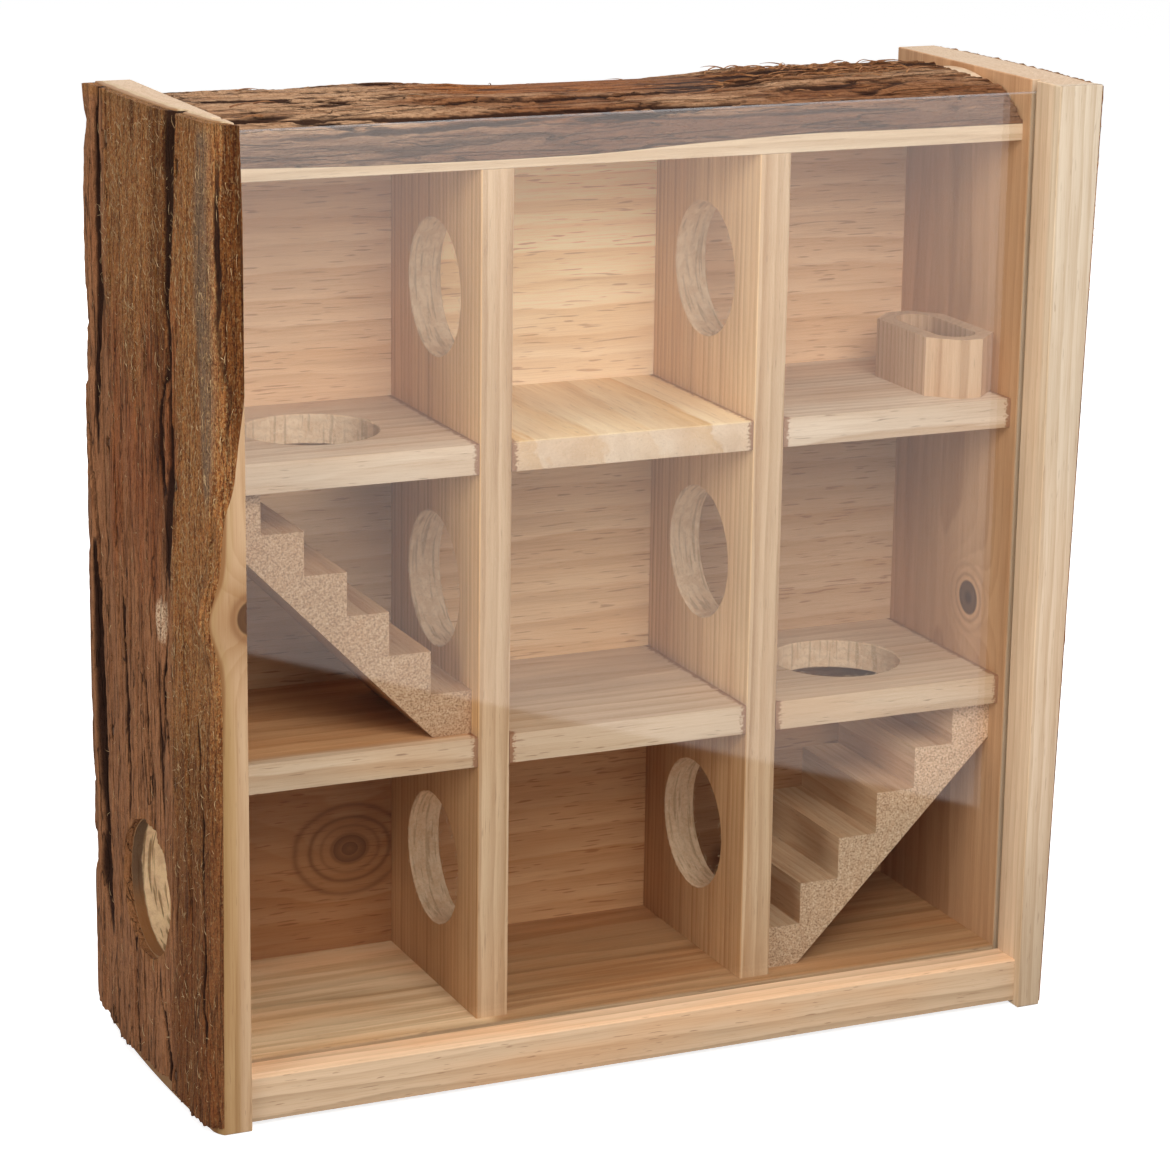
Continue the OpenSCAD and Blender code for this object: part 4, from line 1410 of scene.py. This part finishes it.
def makeBoard(name, node, axis, material, holes=()):
    low, high = boxMm(node)
    first, second, run = {"x": (1, 2, 0), "z": (0, 1, 2)}[axis]
    stations = np.linspace(low[run], high[run], int((high[run] - low[run]) / boardLook["step"]) + 2)
    ease = boardLook["ease"]
    outlines = []
    ring = roundOutline([(low[first], low[second], ease), (high[first], low[second], ease),
                         (high[first], high[second], ease), (low[first], high[second], ease)])
    for k in range(len(stations)):
        wobble = rollNoise(np.arange(len(ring)) * 0.9, np.full(len(ring), k * 0.45), len(name))
        outlines.append(ring + (wobble[:, None] - 0.5) * boardLook["uneven"] * np.sign(ring - ring.mean(0)))
    points, faces = loft(outlines, stations, axis, boardLook["endEase"])
    board = addPiece(name, points, faces, material)
    if holes:
        cutWith(board, list(holes))
    return fit(board, "case", "board_wood", node)


shelfTone = {"grain": "x", "early": rgb(0.68, 0.50, 0.345), "late": rgb(0.47, 0.28, 0.15)}
shelves = {  # pith: y and z, or x and z, of the heart of the tree that each board came from
    "upper_left_shelf": {"seed": 11, "pith": (30.0, 150.0), "hole": True, "early": rgb(0.69, 0.53, 0.39)},
    # painted light on the upper middle shelf: its top face lighter
    "upper_middle_shelf": {"seed": 12, "grain": "y", "pith": (-190.0, 90.0), "ring": 17.0, "sway": 12.0,
                           "late": rgb(0.64, 0.34, 0.10), "early": rgb(0.84, 0.66, 0.50), "speckle": 0.1,
                           "lateShare": 1.0, "tints": [(rgb(1.17, 1.20, 1.05), ("z", 188.7, 189.1))]},
    "upper_right_shelf": {"seed": 13, "pith": (52.0, 160.0), "early": rgb(0.73, 0.57, 0.43)},
    # painted shadow on the lower left shelf: its top face darker and more orange behind the front edge, under
    # the stairs
    "lower_left_shelf": {"seed": 14, "pith": (14.0, 70.0), "ring": 3.6,
                         "tints": [(rgb(0.95, 0.70, 0.48), ("z", 101.6, 102.0), ("y", -28.0, -22.0))]},
    "lower_middle_shelf": {"seed": 15, "pith": (22.0, 82.0), "ring": 5.8, "blush": rgb(0.50, 0.35, 0.24)},
    "lower_right_shelf": {"seed": 16, "pith": (44.0, 66.0), "hole": True},
}
shelfBore = boreFinish("shelfBore", "z", {})


def camel(node):
    words = node.split("_")
    return words[0] + "".join(w.title() for w in words[1:])


for node, look in shelves.items():
    low, high = boxMm(node)
    finish = woodFinish(camel(node) + "Wood", {**shelfTone, **look, "ragged": (low[0], high[0])})
    holes = []
    if look.get("hole"):
        middle = (low + high) / 2
        holes.append(boreCutter("z", middle[:2], low[2], high[2], look["seed"], shelfBore))
    makeBoard(camel(node), node, "x", finish, holes)

dividerTone = {"grain": "z", "ring": 2.42, "sway": 3.0, "swayLong": 260.0, "early": rgb(0.64, 0.44, 0.275),
               "late": rgb(0.40, 0.215, 0.10), "blushShare": 0.25, "lateShare": 0.95, "dashShare": 0.25}
dividers = {
    # front and face: tints of painted light for the upper front edge and the upper left face
    "left_divider": {"seed": 21, "pith": (-118.0, -124.0),
                     "front": rgb(0.98, 1.06, 1.18), "face": rgb(1.25, 1.16, 0.94)},
    "right_divider": {"seed": 22, "pith": (118.0, -124.0),
                      "front": rgb(1.00, 1.26, 1.55), "face": rgb(1.25, 1.25, 1.14)},
}
dividerBore = boreFinish("dividerBore", "x", {})
passageZ = [54.08, 141.25, 228.42]  # mm, centres of the passages through a divider
for node, look in dividers.items():
    low, high = boxMm(node)
    face = ("x", low[0] + 0.6, low[0] + 0.3)  # only on the left face
    tints = [
        # painted light: the left face lighter in the upper two rows
        (look["face"], face, ("z", 100.0, 106.0)),
        # painted shade: the left face darker and more orange in the bottom row
        (rgb(0.88, 0.74, 0.58), face, ("z", 100.0, 92.0)),
        # painted light: the front edge lighter and cooler towards the top
        (look["front"], ("y", -31.0, -32.0), ("z", 100.0, 160.0)),
    ]
    finish = woodFinish(camel(node) + "Wood", {**dividerTone, **look, "tints": tints})
    middleY = (low[1] + high[1]) / 2
    holes = [boreCutter("x", (middleY, z), low[0], high[0], look["seed"] + k, dividerBore)
             for k, z in enumerate(passageZ)]
    makeBoard(camel(node), node, "z", finish, holes)

lintSet = {
    "seed": 900,
    "perRim": 46,
    "long": (0.8, 2.6),  # mm
    "thick": (0.05, 0.10),
    "rise": (0.1, 0.5),
    "rooted": 0.2,  # mm outside the bore
    "aside": 0.8,  # how much it follows the rim, and how much it hangs into the bore
    "inward": (0.1, 0.9),
}


def growLint(rims, look):  # loose fibres round the rims; a rim is its centre and the way out of the board
    rng = np.random.default_rng(look["seed"])
    roots, ways, rises = [], [], []
    for centre, outward in rims:
        outward = np.array(outward, float)
        first = np.array([0.0, 1.0, 0.0]) if abs(outward[1]) < 0.5 else np.array([1.0, 0.0, 0.0])
        second = np.cross(outward, first)
        for _ in range(look["perRim"]):
            turn = rng.uniform(0, 2 * np.pi)
            spoke = first * np.cos(turn) + second * np.sin(turn)
            aside = second * np.cos(turn) - first * np.sin(turn)
            roots.append(np.array(centre) + spoke * (boreSet["radius"] + look["rooted"]))
            ways.append(aside * rng.choice([-1, 1]) * look["aside"] - spoke * rng.uniform(*look["inward"]))
            rises.append(outward * rng.uniform(*look["rise"]))
    count = len(roots)
    lengths = rng.uniform(*look["long"], count)
    thick = rng.uniform(*look["thick"], count)
    finish = fibreFinish("boreLint", rgb(0.55, 0.37, 0.20), rgb(0.80, 0.64, 0.45))
    roots, ways, rises = np.array(roots), np.array(ways), np.array(rises)
    lint = growFibres("boreLint", roots, ways, rises, lengths, thick, finish, fibreRoom)


rims = []
for node in dividers:
    low, high = boxMm(node)
    for z in passageZ:
        for x, way in ((low[0], -1), (high[0], 1)):
            rims.append(((x, (low[1] + high[1]) / 2, z), (way, 0, 0)))
for node, look in shelves.items():
    low, high = boxMm(node)
    if look.get("hole"):
        rims.append((((low[0] + high[0]) / 2, (low[1] + high[1]) / 2, high[2]), (0, 0, 1)))
growLint(rims, lintSet)
print("shelves and dividers set")


bottomSet = {"foot": 0.5, "back": 0.4, "lip": 0.3, "front": 0.6, "sections": 30}  # easing of its edges, mm


def makeBottomBoard(material):
    low, high = boxMm("bottom_board")
    bed = grooveSet["from"]
    foot = bottomSet["foot"]
    lip = bottomSet["lip"]
    corners = [(low[1], low[2], foot), (high[1], low[2], foot), (high[1], high[2], bottomSet["back"]),
               (grooveBack, high[2], lip), (grooveBack, bed, 0), (grooveFront, bed, 0),
               (grooveFront, high[2], lip), (low[1], high[2], bottomSet["front"])]
    stations = np.linspace(low[0], high[0], bottomSet["sections"])
    outline = roundOutline(corners)
    points, faces = loft([outline for _ in stations], stations, "x", boardLook["endEase"])
    board = addPiece("bottomBoard", points, faces, material)
    return fit(board, "case", "board_wood", "bottom_board")


makeBottomBoard(woodFinish("bottomBoardWood", {
    "grain": "x", "seed": 31, "pith": (30.0, -60.0), "ring": 3.1, "sway": 10.0, "swayLong": 220.0,
    "early": rgb(0.62, 0.44, 0.285), "late": rgb(0.34, 0.215, 0.115), "lateShare": 0.95, "blushShare": 0.6,
    "streaks": 0.45, "streakFrom": ("y", -36.0, -31.0),
    "tints": [
        # painted shade: the floors of the middle and right cells darker
        (rgb(0.82, 0.64, 0.47), ("y", -33.5, -32.0), ("x", -46.0, -40.0), ("z", 14.2, 14.8)),
        # painted light: the floor of the left cell lighter
        (rgb(1.40, 1.40, 1.32), ("y", -33.5, -32.0), ("x", -40.0, -46.0), ("z", 14.2, 14.8)),
        # painted light: the top strip in front of the pane lighter
        (rgb(1.36, 1.30, 1.26), ("y", -34.0, -36.0), ("z", 14.3, 14.8)),
    ],
}))


def dress(node, material, edge=None):  # gives a frame piece its finish, and eased edges where it shows them
    piece = nodes[node]
    for holder in piece.material_slots:
        holder.material = material
    if edge:
        ease = piece.modifiers.new("easedEdges", "BEVEL")
        ease.width = edge * mm
        ease.segments = 2
        ease.limit_method = "ANGLE"
        ease.angle_limit = math.radians(40)


panelKnot = {"axis": "y", "at": (-62.0, 47.0), "size": (6.6, 5.2), "swell": 18.0, "reach": 3.0, "lines": 2.4,
             "halo": 0.45, "haloColour": rgb(0.45, 0.25, 0.12),
             "rings": [(1.45, 0.10, 0.35), (2.0, 0.13, 0.6), (2.75, 0.16, 0.5)]}
inCells = ("y", 43.0, 42.0)  # only on the face towards the cells
midCells = [("x", -46.0, -40.0), ("x", 46.0, 40.0), inCells]  # and only in the middle column
dress("back_panel", woodFinish("backPanelWood", {
    "grain": "x", "seed": 41, "pith": (95.0, -170.0), "strip": 87.17, "ring": 8.0, "sway": 7.0,
    "swayLong": 260.0, "early": rgb(0.80, 0.55, 0.35), "late": rgb(0.58, 0.29, 0.11), "lateShare": 0.8,
    "blush": rgb(0.72, 0.42, 0.21), "blushShare": 0.45, "resin": rgb(0.33, 0.12, 0.045), "dashes": 0.69,
    "dashShare": 0.5, "dashFine": (1.6, 0.13), "grip": 0.00005,
    "knots": [panelKnot], "knotWood": rgb(0.42, 0.23, 0.12), "heart": 0.1,
    "tints": [
        # painted shade: the lower two rows darker
        (rgb(0.82, 0.78, 0.74), ("z", 189.0, 180.0), inCells),
        # painted shade: the bottom row darker still
        (rgb(0.80, 0.66, 0.56), ("z", 102.0, 94.0), inCells),
        # painted shade: the bottom-left cell darker again
        (rgb(0.80, 0.74, 0.66), ("x", -40.0, -46.0), ("z", 102.0, 94.0), inCells),
        # painted light: the middle column lighter
        (rgb(1.30, 1.38, 1.36), *midCells),
        # painted light: the middle column's top row lighter and cooler
        (rgb(1.00, 1.12, 1.20), ("z", 185.0, 192.0), *midCells),
        # painted light: the top row lighter
        (rgb(1.12, 1.10, 1.06), ("z", 185.0, 192.0), inCells),
        # painted shade: the lower part of the top middle cell darker
        (rgb(0.86, 0.83, 0.86), ("z", 232.0, 196.0), ("z", 180.0, 189.0), *midCells),
    ],
}))
stairEase = 0.35  # mm
troughEase = 0.4
stairTone = {"grain": "y", "ring": 3.0, "speckle": 0.85, "early": rgb(0.58, 0.40, 0.25), "fibreShare": 0.5}
# painted shade: the left stairs darker above z 91, under the shelf
dress("left_stairs", woodFinish("leftStairsWood", {
    **stairTone, "seed": 51, "pith": (-60.0, 90.0), "tints": [(rgb(0.90, 0.82, 0.76), ("z", 90.0, 91.0))],
}), stairEase)
# painted light: the right stairs' upper steps lighter, fading in from z 58 to 74
dress("right_stairs", woodFinish("rightStairsWood", {
    **stairTone, "seed": 52, "pith": (140.0, 30.0), "tints": [(rgb(1.20, 1.16, 1.16), ("z", 58.0, 74.0))],
}), stairEase)
dress("feed_trough", woodFinish("troughWood", {
    "grain": "z", "seed": 61, "pith": (96.0, 30.0), "ring": 2.6, "speckle": 0.3,
    "early": rgb(0.67, 0.45, 0.28),
}), troughEase)


def steelFinish(name, bright, dull, metal):
    material, finish = newFinish(name)
    x, y, z = finish.place()
    rub = finish.noise(x * 4, y * 4, z * 4, detail=3)
    colour = finish.mix(finish.fade(rub, 0.4, 0.7), bright, dull)
    finish.solid(colour, 0.35 + rub * 0.3, finish.bump(rub, 0.00005, 0.5), {"Metallic": metal})
    return material


brightSteel = steelFinish("nailSteel", rgb(0.58, 0.57, 0.55), rgb(0.36, 0.33, 0.30), 1.0)
rustySteel = steelFinish("rustyNail", rgb(0.16, 0.085, 0.05), rgb(0.09, 0.04, 0.022), 0.3)
for node in ("left_nails", "right_nails"):
    dress(node, rustySteel)
for node in ("back_nails", "bottom_nails"):
    dress(node, brightSteel)
print("floor, panel, stairs, trough and nails finished")


# Pane: clear sheet with frosted edges

paneSet = {
    "tint": rgb(0.985, 0.99, 0.985),
    "edge": rgb(0.62, 0.62, 0.64),
    "scratch": rgb(0.50, 0.51, 0.53),
    "edgeShare": 0.22,
    "gloss": 0.02,
    "headOn": 0.04,  # share of light mirrored head-on by each face
    "ease": 0.3,
    "crease": 30,  # degrees
}


def clearFinish(look):
    material, finish = newFinish("clearPane")
    facing = finish.node("ShaderNodeLayerWeight", None, {"Blend": 0.5}).output("Facing")
    mirror = facing ** 5 * (1 - look["headOn"]) + look["headOn"]
    see = finish.node("ShaderNodeBsdfTransparent", None, {"Color": look["tint"]})
    shine = finish.node("ShaderNodeBsdfGlossy", None, {"Roughness": look["gloss"]})
    finish.surface(finish.node("ShaderNodeMixShader", None, {0: mirror, 1: see, 2: shine}))
    return material


def edgeFinish(look):
    material, finish = newFinish("paneEdge")
    x, y, z = finish.place()
    scratch = finish.noise(x * 0.6, y * 6, z * 0.6, detail=3)
    see = finish.node("ShaderNodeBsdfTransparent", None, {"Color": look["tint"]})
    colour = finish.mix(finish.fade(scratch, 0.35, 0.7), look["edge"], look["scratch"])
    sockets = {"Base Color": colour, "Roughness": 0.25 + scratch * 0.3}
    frost = finish.node("ShaderNodeBsdfPrincipled", None, sockets)
    finish.surface(finish.node("ShaderNodeMixShader", None, {0: look["edgeShare"], 1: see, 2: frost}))
    return material


def makePane(look):
    ease = look["ease"]
    corners = [(paneLow[0], paneLow[1], ease), (paneHigh[0], paneLow[1], ease),
               (paneHigh[0], paneHigh[1], ease), (paneLow[0], paneHigh[1], ease)]
    stations = [paneLow[2], paneHigh[2]]
    outline = roundOutline(corners)
    points, faces = loft([outline, outline], stations, "z", ease)
    pane = addPiece("clearPane", points, faces, clearFinish(look), look["crease"])
    pane.data.materials.append(edgeFinish(look))
    for face in pane.data.polygons:
        face.use_smooth = False
        face.material_index = 0 if abs(face.normal.y) > 0.9 else 1
    return fit(pane, "pane", "clear_pane", "front_pane")


makePane(paneSet)
print("pane slid in")
